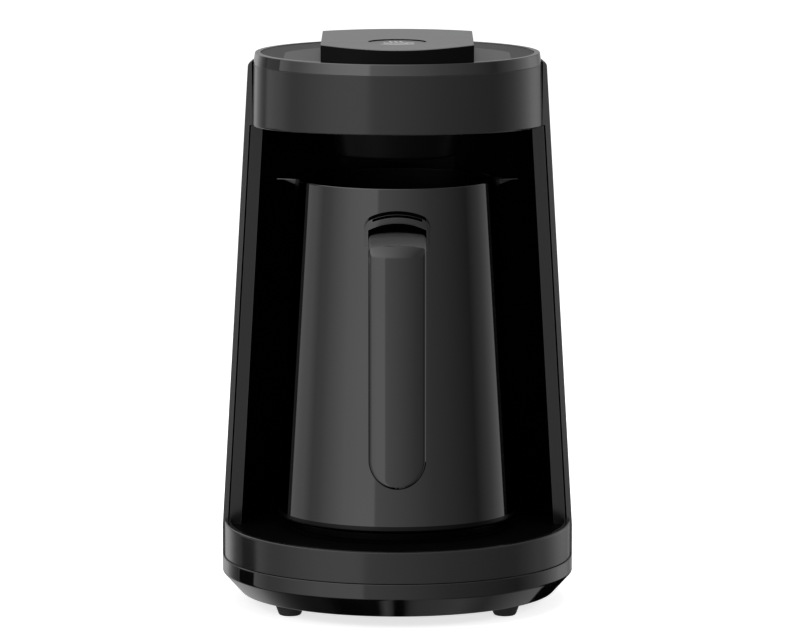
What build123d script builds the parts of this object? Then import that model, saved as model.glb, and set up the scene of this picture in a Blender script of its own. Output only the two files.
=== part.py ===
from build123d import *
import os
from math import cos, radians, sin, sqrt

# An electric coffee maker for a single conical pot: a round base with a hot plate, a column
# behind the pot and a round head above it. Millimetres, +Z up, the front towards -Y.
# Everything is drawn about the pot's upright axis. At export it is moved so that the origin
# lies on the ground, under the middle of the whole object's box.

# ---- fits ----
TOUCH_GAP = 0.2            # between fixed pieces that are fitted side by side
MOVING_GAP = 0.35          # between a moving piece and what it passes
BORE_PLAY = 0.06           # radial play of a running shaft
CUT = 40.0                 # how far a cutter runs past what it cuts

# ---- stance and base ----
FOOT_HEIGHT = 5.0
CHAMFER_WIDTH = 8.3
CHAMFER_HEIGHT = 9.0
BAND_HEIGHT = 6.6
BAND_DRAFT = 0.2
SEAM_HEIGHT = 0.8
COVER_WALL = 2.4
RING_INSET = 1.0           # the ring's face inside the base's edge
RING_WALL = 2.6
RING_LEDGE = 2.0
RING_EDGE_ROUND = 0.7
RING_SLOPE = 0.021         # the ring's top edge falls this much towards the front
LIP_WALL = 2.0
DECK_HEIGHT = 12.4         # deck's top above the seam
DECK_THICKNESS = 2.4
RING_RISE = 2.4            # ring's top edge above the deck, at the sides
DECK_WINDOW_GAP = 2.0      # from the liner to the window for the wires
DECK_WINDOW_DEPTH = 14.0

# ---- feet ----
FOOT_TOP_RADIUS = 6.6
FOOT_TIP_RADIUS = 4.75
FOOT_ROUND = 1.2
FOOT_STEM_RADIUS = 2.5
FOOT_BARB_RADIUS = 3.2
FOOT_BARB_HEIGHT = 1.6
FOOT_INSET = 9.0           # feet inside the sole's edge
FOOT_ANGLES = (-141.2, -38.8, 46.2, 133.8)

# ---- column ----
NICHE_FOOT_GAP = 16.9      # from the pot's foot to the liner at the deck
NICHE_HEAD_GAP = 15.8      # from the pot's rim to the liner at the head
LINER_WALL = 2.0
STRIP_THICKNESS = 2.0
STRIP_LIFT = 1.8           # gap under the front strips
HOUSING_SIDE = 8.2         # shell's outside beyond the liner's inside, at the deck
HOUSING_WALL = 2.2
HOUSING_HEAD_SIDE = 2.4    # shell's outside beyond the drum, at the top
HOUSING_TOP_RISE = 0.6     # above the foot of the trim ring
COLUMN_ROOM = 6.4          # free depth behind the power board's tallest component
HOUSING_EDGE = 1.2         # bevel round the top
HOUSING_SKIRT = 1.6        # how far the shell's foot hangs below the chamfer's top
COVER_REAR_RIM = 2.0
VENT_COUNT = 7
VENT_WIDTH = 3.0
VENT_PITCH = 6.5
VENT_FOOT = 42.0
VENT_HEIGHT = 34.0

# ---- head ----
POT_CLEARANCE = 10.6       # from the pot's rim to the sensor hood
DRUM_OVERHANG = 4.7        # drum's outside beyond the niche's inside
DRUM_DRAFT = 0.7
DRUM_HEIGHT = 27.6
DRUM_WALL = 2.4
DRUM_BEVEL = 0.8
DRUM_SLOPE = 0.031         # the drum's lower edge rises this much towards the front
DRUM_LIP = 3.2             # how far the lip reaches inwards of the wall
DRUM_LIP_HEIGHT = 3.7
DRUM_GAP = 0.7             # between the drum and the shell round it
EAR_RADIUS = 4.2
EAR_HEIGHT = 4.0
EAR_REACH = 3.0            # ear's centre outside the drum's wall
EAR_ANGLES = (55.0, 90.0, 125.0)
COLUMN_LENGTH = 22.0
WINDOW_WIDTH = 44.0
WINDOW_SILL = 3.2          # above the underside plate
WINDOW_HEIGHT = 15.0
UNDERSIDE_THICKNESS = 2.4
TRIM_HEIGHT = 5.1
TRIM_DRAFT = 0.7
TRIM_BEVEL = 0.4
TRIM_RIM = 2.5             # width of the ring's flat top
TRIM_SEAT = 2.9            # width of the step that carries the top plate
PLATE_THICKNESS = 2.3

# ---- control block and button ----
BLOCK_HALF_WIDTH = 33.2
BLOCK_HEIGHT = 8.1
BLOCK_INSET = 0.4          # block's front behind the trim's top edge
BLOCK_REAR_RADIUS = 55.6
BLOCK_REAR_CENTRE = -31.6
BLOCK_WALL = 2.4
BLOCK_ROOF = 3.0
BLOCK_FALL_START = -44.0   # in front of this the top rolls down
BLOCK_FALL_RADIUS = 85.0
BLOCK_EDGE = 0.5
BUTTON_Y = -41.0
BUTTON_RADIUS = 12.3
BUTTON_FLANGE = 1.4
BUTTON_FLANGE_HEIGHT = 1.9
BUTTON_TRAVEL = 0.8
BUTTON_STEM_RADIUS = 3.2
BUTTON_STOP_GAP = 0.05
BUTTON_SPRING_RADIUS = 5.2
BUTTON_SPRING_WIRE = 0.4
BUTTON_SPRING_TURNS = 5
BLOCK_SCREW_INSET = 7.2    # from the block's side
BLOCK_SCREW_YS = (-38.0, 2.0)
BLOCK_BOSS_RADIUS = 3.0

# ---- control board ----
BOARD_DROP = 7.6           # board's top below the top plate
BOARD_THICKNESS = 1.6
BOARD_HALF_WIDTH = 26.0
BOARD_FRONT = -53.0
BOARD_BACK = -13.0
PILLAR_RADIUS = 2.5
PILLAR_INSET = 4.0
KEY_SIDE = 6.0
KEY_HEIGHT = 4.4
KEY_CASE_HEIGHT = 3.5
KEY_PLUNGER_RADIUS = 1.7
LAMP_RADIUS = 1.5
LAMP_HEIGHT = 4.0
LAMP_X = 7.5
BUZZER_RADIUS = 6.0
BUZZER_HEIGHT = 6.5
BUZZER_HOLE = 1.25
BUZZER_PLACE = (-15.0, -26.0)
PLUG_SIZE = (14.0, 6.0, 6.0)
PLUG_X = 10.0

# ---- foam sensor ----
HOOD_HEIGHT = 16.5
HOOD_TOP_RADIUS = 30.0
HOOD_FOOT_RADIUS = 27.2
HOOD_BEVEL = 1.2
HOOD_WALL = 2.2
LENS_RADIUS = 9.0
LENS_FLANGE = 2.0
LENS_THICKNESS = 1.6
SENSOR_BOARD_RADIUS = 17.0
SENSOR_BOARD_LIFT = 6.0
SENSOR_CAN_RADIUS = 4.6
HOOD_POST_RADIUS = 3.0
HOOD_POST_REACH = 22.7
HOOD_POST_ANGLES = (30.0, 150.0, 270.0)
SENSOR_POST_RADIUS = 2.0
SENSOR_POST_REACH = 13.0
SENSOR_POST_ANGLES = (90.0, 210.0, 330.0)
LEAD_HOLE_RADIUS = 6.0

# ---- hot plate and heater ----
PLATE_RISE = 4.9           # hot plate's top above the deck
HOT_PLATE_RADIUS = 47.0
HOT_PLATE_METAL = 1.5
GASKET_WIDTH = 4.0
GASKET_HEIGHT = 1.0
DECK_SHOULDER = 5.0        # how far the deck reaches under the hot plate's rim
ELEMENT_GAP = 2.75         # between the studs and the element
ELEMENT_TUBE_RADIUS = 3.25
ELEMENT_GAP_ANGLE = 20.0   # half of the opening between the element's two ends
TERMINAL_RADIUS = 2.0
TERMINAL_TAIL = 7.5        # how far the terminals reach below the heat shield
BEAD_RADIUS = 3.4
BEAD_HEIGHT = 4.0
SHIELD_GAP = 1.0           # between the shield's wall and the deck's hole
SHIELD_DEPTH = 6.4
SHIELD_METAL = 1.0
SHIELD_FLANGE = 5.0
STUD_INSET = 5.0           # studs inside the shield's wall
STUD_RADIUS = 2.0
STUD_ANGLES = (30.0, 150.0, 270.0)
STUD_TAIL = 1.0            # stud's end below its nut
NUT_SIDE = 3.6             # half across the flats
NUT_HEIGHT = 3.0
FUSE_RADIUS = 2.0
FUSE_LENGTH = 11.0
FUSE_Y = -16.0

# ---- pot sensor ----
PLUNGER_RADIUS = 6.3
PLUNGER_CAP = 1.8
PLUNGER_STEM_RADIUS = 2.4
PLUNGER_RISE = 1.5         # how far it would rise with the pot away
PLUNGER_STOP_RADIUS = 4.0
PLUNGER_STOP_HEIGHT = 1.4
GUIDE_WALL = 1.2
GUIDE_DEPTH = 9.4
GUIDE_FLOOR = 1.6
GUIDE_FLANGE = 3.2
GUIDE_FLANGE_HEIGHT = 1.4
SENSOR_SPRING_RADIUS = 4.7
SENSOR_SPRING_WIRE = 0.4
SENSOR_SPRING_TURNS = 4

# ---- pot ----
POT_STAND_GAP = 0.2        # between the pot's bottom and the plate's top
POT_FOOT_RADIUS = 52.9
POT_RIM_RADIUS = 43.8
POT_HEIGHT = 150.5
POT_WALL = 1.2
POT_BOTTOM = 2.2
POT_FOOT_ROUND = 3.5
POT_INNER_ROUND = 2.5
SPOUT_TIP = 9.6            # how far the spout's tip lies outside the rim
SPOUT_ROOT = 4.0           # how far it starts inside the rim
SPOUT_ROOT_HALF_WIDTH = 12.0
SPOUT_ROOT_DEPTH = 12.0
SPOUT_TIP_HALF_WIDTH = 1.9
SPOUT_TIP_DEPTH = 1.1
SPOUT_WALL = 0.7
SPOUT_STATIONS = 5

# ---- pot handle ----
FINGER_GAP = 15.6          # between the pot's foot and the handle
HANDLE_HALF_WIDTH = 12.55
HANDLE_THICKNESS = 7.5
HANDLE_CROWN = 2.5
HANDLE_BEND = 9.0
HANDLE_TOP_DROP = 17.9     # handle's top below the rim
HANDLE_LENGTH = 109.7      # from its top to its rounded lower end
BRACKET_REACH = 10.2       # bracket's front beyond the pot's rim
BRACKET_SIDE_GAP = 0.35    # between the handle and the bracket's sides
BRACKET_SIDE_WALL = 1.6
BRACKET_BACK_WALL = 1.4
BRACKET_ROOF = 5.5
BRACKET_FOOT_LIFT = 0.5    # bracket's foot above the handle's underside
BRACKET_ARCH = 4.0
BRACKET_MOUTH_GAP = 3.3    # between the handle's top and the bracket's arch
BRACKET_MOUTH_ARCH = 3.2
TONGUE_HALF_WIDTH = 6.0
TONGUE_THICKNESS = 2.0
TONGUE_ROOF = 1.5          # handle's crown above the tongue
TONGUE_REACH = 6.5         # beyond the bracket's front
HANDLE_SCREW_REACH = 3.0   # beyond the bracket's front
HANDLE_SCREW_WEB = 1.4     # what the screw's head clamps below the tongue

# ---- screws ----
SCREW_HEAD_RADIUS = 2.9
SCREW_HEAD_HEIGHT = 2.2
SCREW_RADIUS = 1.25
SCREW_HOLE_RADIUS = 1.7
SCREW_WELL_RADIUS = 3.4
SCREW_WELL_DEPTH = 4.0
SCREW_CROSS = 4.0          # span of the cross in the head
SCREW_CROSS_DEPTH = 1.1
SCREW_SLOT = 1.0
BOSS_RADIUS = 4.0
BASE_BOSS_RADIUS = 5.0
BASE_SCREW_INSET = 8.0     # screws inside the sole's edge
BASE_SCREW_ANGLES = (-115.0, -65.0, 30.0, 150.0)
HOUSING_SCREW_INSET = 10.0
HOUSING_SCREW_ANGLES = (66.0, 114.0)
HOUSING_POST_HEIGHT = 24.0
LINER_SCREW_ANGLES = (32.0, 65.0, 115.0, 148.0)
LINER_SCREW_REACH = 4.0    # boss's centre outside the liner's inside
LINER_BOSS_HEIGHT = 12.0
SCREW_GRIP = 9.0           # how deep a screw goes into its boss

# ---- power board in the column ----
POWER_HALF_WIDTH = 33.0
POWER_HEIGHT = 88.0
POWER_FOOT = 60.0
POWER_GAP = 4.0            # behind the liner's wall
POWER_THICKNESS = 1.6
POWER_HOLE_INSET = 5.0
POWER_BOSS_RADIUS = 3.4
COMPONENT_DEPTH = 12.0     # the tallest components stand off the board this far
RELAY_WIDTH = 20.0
RELAY_HEIGHT = 16.0
RELAY_PLACE = (-16.0, 16.0)
TRANSFORMER_WIDTH = 18.0
TRANSFORMER_HEIGHT = 16.0
TRANSFORMER_PLACE = (12.0, 44.0)
CAPACITOR_RADIUS = 5.0
CAPACITOR_PLACE = (-14.0, 48.0)
TERMINAL_SIZE = (16.0, 10.0, 10.0)
TERMINAL_X = 14.0
TERMINAL_WELL = 3.3
CONNECTOR_SIZE = (12.0, 6.0, 8.0)

# ---- wiring and gland ----
WIRE_RADIUS = 1.6
WIRE_DROP = 4.0
WIRE_BEND = 4.0
LOOM_RADIUS = 2.8
LOOM_BEND = 9.0
GLAND_BORE = 3.4
GLAND_WALL = 2.0
GLAND_FLANGE = 1.8
GLAND_FLANGE_THICKNESS = 2.0
GLAND_TAIL = 10.0
GLAND_POCKET = 3.2         # depth of the flange's pocket below the shell's outside
GLAND_PAD = 3.0            # wall added inside the shell round the gland
GLAND_PAD_MARGIN = 4.0

# ---- radii worked out from the sizes above ----
NICHE_FOOT_RADIUS = POT_FOOT_RADIUS + NICHE_FOOT_GAP
NICHE_HEAD_RADIUS = POT_RIM_RADIUS + NICHE_HEAD_GAP
BASE_RADIUS = NICHE_FOOT_RADIUS + HOUSING_SIDE
SOLE_RADIUS = BASE_RADIUS - CHAMFER_WIDTH
RING_RADIUS = BASE_RADIUS - RING_INSET
REAR_REACH = POWER_GAP + POWER_THICKNESS + COMPONENT_DEPTH + COLUMN_ROOM
DRUM_RADIUS = NICHE_HEAD_RADIUS + DRUM_OVERHANG
DRUM_TOP_RADIUS = DRUM_RADIUS - DRUM_DRAFT
HOUSING_TOP_RADIUS = DRUM_TOP_RADIUS + HOUSING_HEAD_SIDE
TRIM_TOP_RADIUS = DRUM_TOP_RADIUS - TRIM_DRAFT
TRIM_SEAT_RADIUS = TRIM_TOP_RADIUS - TRIM_RIM
TRIM_INNER_RADIUS = TRIM_SEAT_RADIUS - TRIM_SEAT
DECK_HOLE_RADIUS = HOT_PLATE_RADIUS - DECK_SHOULDER
SHIELD_RADIUS = DECK_HOLE_RADIUS - SHIELD_GAP
STUD_REACH = SHIELD_RADIUS - STUD_INSET
ELEMENT_RADIUS = STUD_REACH - STUD_RADIUS - ELEMENT_GAP - ELEMENT_TUBE_RADIUS
GLAND_RADIUS = GLAND_BORE + GLAND_WALL
HANDLE_FRONT = POT_FOOT_RADIUS + FINGER_GAP + HANDLE_THICKNESS
BRACKET_FRONT = POT_RIM_RADIUS + BRACKET_REACH
BRACKET_HALF_WIDTH = HANDLE_HALF_WIDTH + BRACKET_SIDE_GAP + BRACKET_SIDE_WALL

# ---- heights worked out from the sizes above ----
SOLE_Z = FOOT_HEIGHT
BAND_Z = SOLE_Z + CHAMFER_HEIGHT
SEAM_Z = BAND_Z + BAND_HEIGHT
DECK_Z = SEAM_Z + SEAM_HEIGHT + DECK_HEIGHT
DECK_FOOT_Z = DECK_Z - DECK_THICKNESS
LEDGE_Z = DECK_FOOT_Z - RING_LEDGE
RING_TOP_Z = DECK_Z + RING_RISE
FLOOR_Z = SOLE_Z + COVER_WALL
COVER_RIM_Z = BAND_Z + COVER_REAR_RIM
HOT_PLATE_Z = DECK_Z + PLATE_RISE
POT_Z = HOT_PLATE_Z + POT_STAND_GAP
RIM_Z = POT_Z + POT_HEIGHT
HOOD_FOOT_Z = RIM_Z + POT_CLEARANCE
UNDERSIDE_Z = HOOD_FOOT_Z + HOOD_HEIGHT
HEAD_Z = UNDERSIDE_Z - DRUM_LIP_HEIGHT
DRUM_TOP_Z = HEAD_Z + DRUM_HEIGHT
TRIM_TOP_Z = DRUM_TOP_Z + TRIM_HEIGHT
TOP_PLATE_Z = TRIM_TOP_Z - PLATE_THICKNESS
BLOCK_TOP_Z = TRIM_TOP_Z + BLOCK_HEIGHT
CEILING_Z = BLOCK_TOP_Z - BLOCK_ROOF
BOARD_Z = TOP_PLATE_Z - BOARD_DROP
HOUSING_FOOT_Z = BAND_Z - HOUSING_SKIRT
HOUSING_TOP_Z = DRUM_TOP_Z + HOUSING_TOP_RISE
HOOD_FLOOR_Z = HOOD_FOOT_Z + HOOD_WALL
SENSOR_BOARD_Z = HOOD_FLOOR_Z + SENSOR_BOARD_LIFT
SHIELD_Z = DECK_FOOT_Z - SHIELD_DEPTH
TERMINAL_Z = SHIELD_Z - TERMINAL_TAIL
GLAND_Z = (COVER_RIM_Z + DECK_FOOT_Z) / 2
HANDLE_TOP_Z = RIM_Z - HANDLE_TOP_DROP
HANDLE_ROOT_Z = HANDLE_TOP_Z - HANDLE_THICKNESS
AXIS_Y = -REAR_REACH / 2   # the pot's axis in the exported frame


# ---- shared shapes ----
def turned(outline, arc=360.0):
    """The solid that an (r, z) outline sweeps about the pot's axis; half a turn is the rear."""
    return revolve(Plane.XZ * make_face(Polyline(*outline, close=True)), Axis.Z, arc)


def front_turned(outline):
    """The front half of a turned solid."""
    return Rot(0, 0, 180) * turned(outline, 180.0)


def disc(radius, z_low, z_high, x=0.0, y=0.0):
    """An upright cylinder between two heights."""
    middle = (z_low + z_high) / 2
    return Pos(x, y, middle) * Cylinder(radius, z_high - z_low)


def rod_y(radius, y_low, y_high, x, z):
    """A cylinder along Y."""
    return Pos(x, (y_low + y_high) / 2, z) * Rot(90, 0, 0) * Cylinder(radius, y_high - y_low)


def slab(x_low, x_high, y_low, y_high, z_low, z_high):
    """A box given by its two corners."""
    place = Pos((x_low + x_high) / 2, (y_low + y_high) / 2, (z_low + z_high) / 2)
    return place * Box(x_high - x_low, y_high - y_low, z_high - z_low)


def oval_face(radius, z):
    """The rear half of the plan: half an ellipse, deeper than wide by the rear reach."""
    arc = EllipticalCenterArc((0, 0), radius, radius + REAR_REACH, start_angle=0, arc_size=180)
    return Pos(0, 0, z) * make_face([arc, Line(arc @ 1, arc @ 0)])


def rear_oval(sections):
    """A solid through rear half plans, given as (half-width, height) from the foot up."""
    return loft([oval_face(radius, z) for radius, z in sections], ruled=True)


def around(reach, angle):
    """The point at a distance from the axis, at an angle from +X."""
    return reach * cos(radians(angle)), reach * sin(radians(angle))


def wedge(z, slope, down):
    """A cutter in front of the axis, between a level plane and one that slopes to the front."""
    far = BASE_RADIUS + CUT
    side = -CUT if down else CUT
    points = ((0, z), (-far, z + slope * far), (-far, z + side), (0, z + side))
    return extrude(Plane.YZ * make_face(Polyline(*points, close=True)), far, both=True)


def screw_up(x, y, seat_z, grip):
    """A pan-head screw that is driven upwards: its head hangs below the seat."""
    foot_z = seat_z - SCREW_HEAD_HEIGHT
    body = disc(SCREW_HEAD_RADIUS, foot_z, seat_z, x, y)
    body += disc(SCREW_RADIUS, seat_z, seat_z + grip, x, y)
    arm, slot = SCREW_CROSS / 2, SCREW_SLOT / 2
    for half_x, half_y in ((arm, slot), (slot, arm)):
        body -= slab(x - half_x, x + half_x, y - half_y, y + half_y,
                     foot_z, foot_z + SCREW_CROSS_DEPTH)
    return body


def screw_down(x, y, seat_z, grip):
    """The same screw driven downwards."""
    return Pos(x, y, seat_z) * Rot(180, 0, 0) * screw_up(0, 0, 0, grip)


def coil(radius, wire, turns, z_low, z_high, y=0.0):
    """A compression spring that stands between two seats."""
    height = z_high - z_low - 2 * wire
    helix = Helix(height / turns, height, radius, center=(0, y, z_low + wire))
    start = Plane(origin=helix @ 0, z_dir=helix % 0)
    return sweep(start * Circle(wire), path=helix)


# ---- outlines that several pieces share ----
def housing_radius(z):
    """Half-width of the shell's outside at a height: upright below the deck, tapered above."""
    share = max(0.0, (z - DECK_Z) / (HOUSING_TOP_Z - DECK_Z))
    return BASE_RADIUS + share * (HOUSING_TOP_RADIUS - BASE_RADIUS)


def niche_radius(z):
    """Radius of the niche's inside at a height."""
    share = (z - DECK_Z) / (HEAD_Z - DECK_Z)
    return NICHE_FOOT_RADIUS + share * (NICHE_HEAD_RADIUS - NICHE_FOOT_RADIUS)


def drum_radius(z):
    """Radius of the drum's outside at a height."""
    share = (z - HEAD_Z) / DRUM_HEIGHT
    return DRUM_RADIUS + share * (DRUM_TOP_RADIUS - DRUM_RADIUS)


def pot_radius(z):
    """Radius of the pot's outside at a height."""
    share = (z - POT_Z) / POT_HEIGHT
    return POT_FOOT_RADIUS + share * (POT_RIM_RADIUS - POT_FOOT_RADIUS)


def chamfer_radius(z):
    """Half-width of the chamfer under the base at a height."""
    share = (z - SOLE_Z) / CHAMFER_HEIGHT
    return SOLE_RADIUS + share * (BASE_RADIUS - SOLE_RADIUS)


def rear_depth(radius, x):
    """Distance behind the axis of an oval plan at a place across it."""
    return (radius + REAR_REACH) * sqrt(1 - (x / radius) ** 2)


def sole_places(inset, angles):
    """Points inside the sole's edge; behind the axis the plan is an oval."""
    reach = SOLE_RADIUS - inset
    places = []
    for angle in angles:
        x, y = around(reach, angle)
        places.append((x, y * (reach + REAR_REACH) / reach if y > 0 else y))
    return places


def base_screw_places():
    """Where the tray is screwed to the deck."""
    return sole_places(BASE_SCREW_INSET, BASE_SCREW_ANGLES)


def housing_screw_places():
    """Where the tray is screwed to the rear housing."""
    return sole_places(HOUSING_SCREW_INSET, HOUSING_SCREW_ANGLES)


def liner_boss_places():
    """Where the liner is screwed to the deck."""
    reach = NICHE_FOOT_RADIUS + LINER_SCREW_REACH
    return [around(reach, angle) for angle in LINER_SCREW_ANGLES]


def ear_places():
    """Where the head is screwed to the liner."""
    return [around(DRUM_RADIUS + EAR_REACH, angle) for angle in EAR_ANGLES]


# ---- base ----
def make_lower_cover():
    """The tray under the base, with the chamfered edge and the lower band in front."""
    band_top = BASE_RADIUS - BAND_DRAFT
    lip_out = RING_RADIUS - RING_WALL - TOUCH_GAP
    lip_in = lip_out - LIP_WALL
    edge_z = HOUSING_FOOT_Z - TOUCH_GAP
    rim_out = BASE_RADIUS - HOUSING_WALL - TOUCH_GAP
    rim_in = rim_out - LIP_WALL
    shelf_z = SEAM_Z - COVER_WALL
    front = front_turned([
        (0, SOLE_Z), (SOLE_RADIUS, SOLE_Z), (BASE_RADIUS, BAND_Z), (band_top, SEAM_Z),
        (lip_out, SEAM_Z), (lip_out, LEDGE_Z), (lip_in, LEDGE_Z), (lip_in, shelf_z),
        (rim_in, shelf_z), (rim_in, BAND_Z), (SOLE_RADIUS - COVER_WALL / 2, FLOOR_Z),
        (0, FLOOR_Z)])
    rear = rear_oval([(SOLE_RADIUS, SOLE_Z), (chamfer_radius(edge_z), edge_z)])
    rear += rear_oval([(rim_out, edge_z), (rim_out, COVER_RIM_Z)])
    inner_foot = SOLE_RADIUS - COVER_WALL / 2
    rear -= rear_oval([(inner_foot, FLOOR_Z), (rim_in, edge_z), (rim_in, COVER_RIM_Z + CUT)])
    cover = front + rear
    for x, y in base_screw_places() + housing_screw_places():
        cover += disc(BASE_BOSS_RADIUS, SOLE_Z, BAND_Z, x, y)
        cover -= disc(SCREW_WELL_RADIUS, SOLE_Z, SOLE_Z + SCREW_WELL_DEPTH, x, y)
        cover -= disc(SCREW_HOLE_RADIUS, SOLE_Z, BAND_Z, x, y)
    for x, y in sole_places(FOOT_INSET, FOOT_ANGLES):
        cover -= disc(FOOT_STEM_RADIUS, SOLE_Z, FLOOR_Z, x, y)
    for row in range(-2, 3):
        y = row * 2 * VENT_WIDTH
        cover -= slab(-VENT_HEIGHT / 2, VENT_HEIGHT / 2, y - VENT_WIDTH / 2, y + VENT_WIDTH / 2,
                      SOLE_Z, FLOOR_Z)
    return cover


def make_front_band():
    """The half ring above the seam that closes the base in front and hides the deck's edge."""
    inner = RING_RADIUS - RING_WALL
    foot_z = SEAM_Z + SEAM_HEIGHT
    band = front_turned([
        (RING_RADIUS, foot_z), (RING_RADIUS, RING_TOP_Z), (inner, RING_TOP_Z),
        (inner, DECK_FOOT_Z), (inner - RING_LEDGE, DECK_FOOT_Z), (inner - RING_LEDGE, LEDGE_Z),
        (inner, LEDGE_Z), (inner, foot_z)])
    band -= wedge(RING_TOP_Z, -RING_SLOPE, down=False)
    top = band.faces().filter_by(lambda f: f.normal_at().Z > 0.99).sort_by(Axis.Z)[-1]
    return fillet(top.edges().filter_by(GeomType.ELLIPSE), RING_EDGE_ROUND)


def make_deck():
    """The floor of the niche, which carries the hot plate and the liner."""
    front_edge = RING_RADIUS - RING_WALL - TOUCH_GAP
    rear_edge = BASE_RADIUS - HOUSING_WALL - TOUCH_GAP
    deck = front_turned([(0, DECK_FOOT_Z), (front_edge, DECK_FOOT_Z), (front_edge, DECK_Z),
                         (0, DECK_Z)])
    deck += rear_oval([(rear_edge, DECK_FOOT_Z), (rear_edge, DECK_Z)])
    deck -= disc(DECK_HOLE_RADIUS, DECK_FOOT_Z, DECK_Z)
    window_y = NICHE_FOOT_RADIUS + LINER_WALL + DECK_WINDOW_GAP
    half_window = WINDOW_WIDTH / 2
    deck -= slab(-half_window, half_window, window_y, window_y + DECK_WINDOW_DEPTH,
                 DECK_FOOT_Z, DECK_Z)
    for x, y in base_screw_places():
        deck += disc(BOSS_RADIUS, BAND_Z, DECK_FOOT_Z, x, y)
        deck -= disc(SCREW_RADIUS, BAND_Z, BAND_Z + SCREW_GRIP, x, y)
    for x, y in liner_boss_places():
        deck -= disc(SCREW_HOLE_RADIUS, DECK_FOOT_Z, DECK_Z, x, y)
    for x, y in housing_screw_places():
        deck -= disc(BOSS_RADIUS + TOUCH_GAP, DECK_FOOT_Z, DECK_Z, x, y)
    return deck


def make_feet():
    """Four rubber feet whose stems snap through the tray's floor."""
    feet = []
    for x, y in sole_places(FOOT_INSET, FOOT_ANGLES):
        pad = Pos(x, y, FOOT_HEIGHT / 2) * Cone(FOOT_TIP_RADIUS, FOOT_TOP_RADIUS, FOOT_HEIGHT)
        pad = fillet(pad.edges().group_by(Axis.Z)[0], FOOT_ROUND)
        pad += disc(FOOT_STEM_RADIUS, FOOT_HEIGHT, FLOOR_Z + FOOT_BARB_HEIGHT, x, y)
        pad += disc(FOOT_BARB_RADIUS, FLOOR_Z, FLOOR_Z + FOOT_BARB_HEIGHT, x, y)
        feet.append(pad)
    return feet


# ---- column ----
def make_liner():
    """The niche's wall: half a cone behind the pot, with a flat strip down each front edge."""
    foot, head = NICHE_FOOT_RADIUS, NICHE_HEAD_RADIUS
    wall = turned([(foot, DECK_Z), (foot + LINER_WALL, DECK_Z), (head + LINER_WALL, HEAD_Z),
                   (head, HEAD_Z)], 180.0)
    strip_foot_z = DECK_Z + STRIP_LIFT
    strip_top_z = HEAD_Z - TOUCH_GAP
    corners = [(housing_radius(z) - HOUSING_WALL - TOUCH_GAP, z)
               for z in (strip_foot_z, strip_top_z)]
    corners += [(niche_radius(z), z) for z in (strip_top_z, strip_foot_z)]
    strip = extrude(Plane.XZ * make_face(Polyline(*corners, close=True)), -STRIP_THICKNESS)
    liner = wall + strip + mirror(strip, Plane.YZ)
    for x, y in liner_boss_places():
        liner += disc(BOSS_RADIUS, DECK_Z, DECK_Z + LINER_BOSS_HEIGHT, x, y)
    for (x, y), angle in zip(ear_places(), EAR_ANGLES):
        liner += disc(EAR_RADIUS, HEAD_Z - COLUMN_LENGTH, HEAD_Z, x, y)
        rib = slab(NICHE_HEAD_RADIUS, DRUM_RADIUS + EAR_REACH, -LINER_WALL, LINER_WALL,
                   HEAD_Z - COLUMN_LENGTH, HEAD_Z)
        liner += Rot(0, 0, angle) * rib
    board_y = power_board_y()
    for x, z in power_screw_places():
        liner += rod_y(POWER_BOSS_RADIUS, 0, board_y, x, z)
    liner -= turned([(0, DECK_Z), (foot, DECK_Z), (head, HEAD_Z), (0, HEAD_Z)])
    for x, y in liner_boss_places():
        liner -= disc(SCREW_RADIUS, DECK_Z, DECK_Z + SCREW_GRIP, x, y)
    for x, y in ear_places():
        liner -= disc(SCREW_RADIUS, HEAD_Z - SCREW_GRIP, HEAD_Z, x, y)
    for x, z in power_screw_places():
        liner -= rod_y(SCREW_RADIUS, board_y - SCREW_GRIP / 2, board_y, x, z)
    return liner


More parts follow.
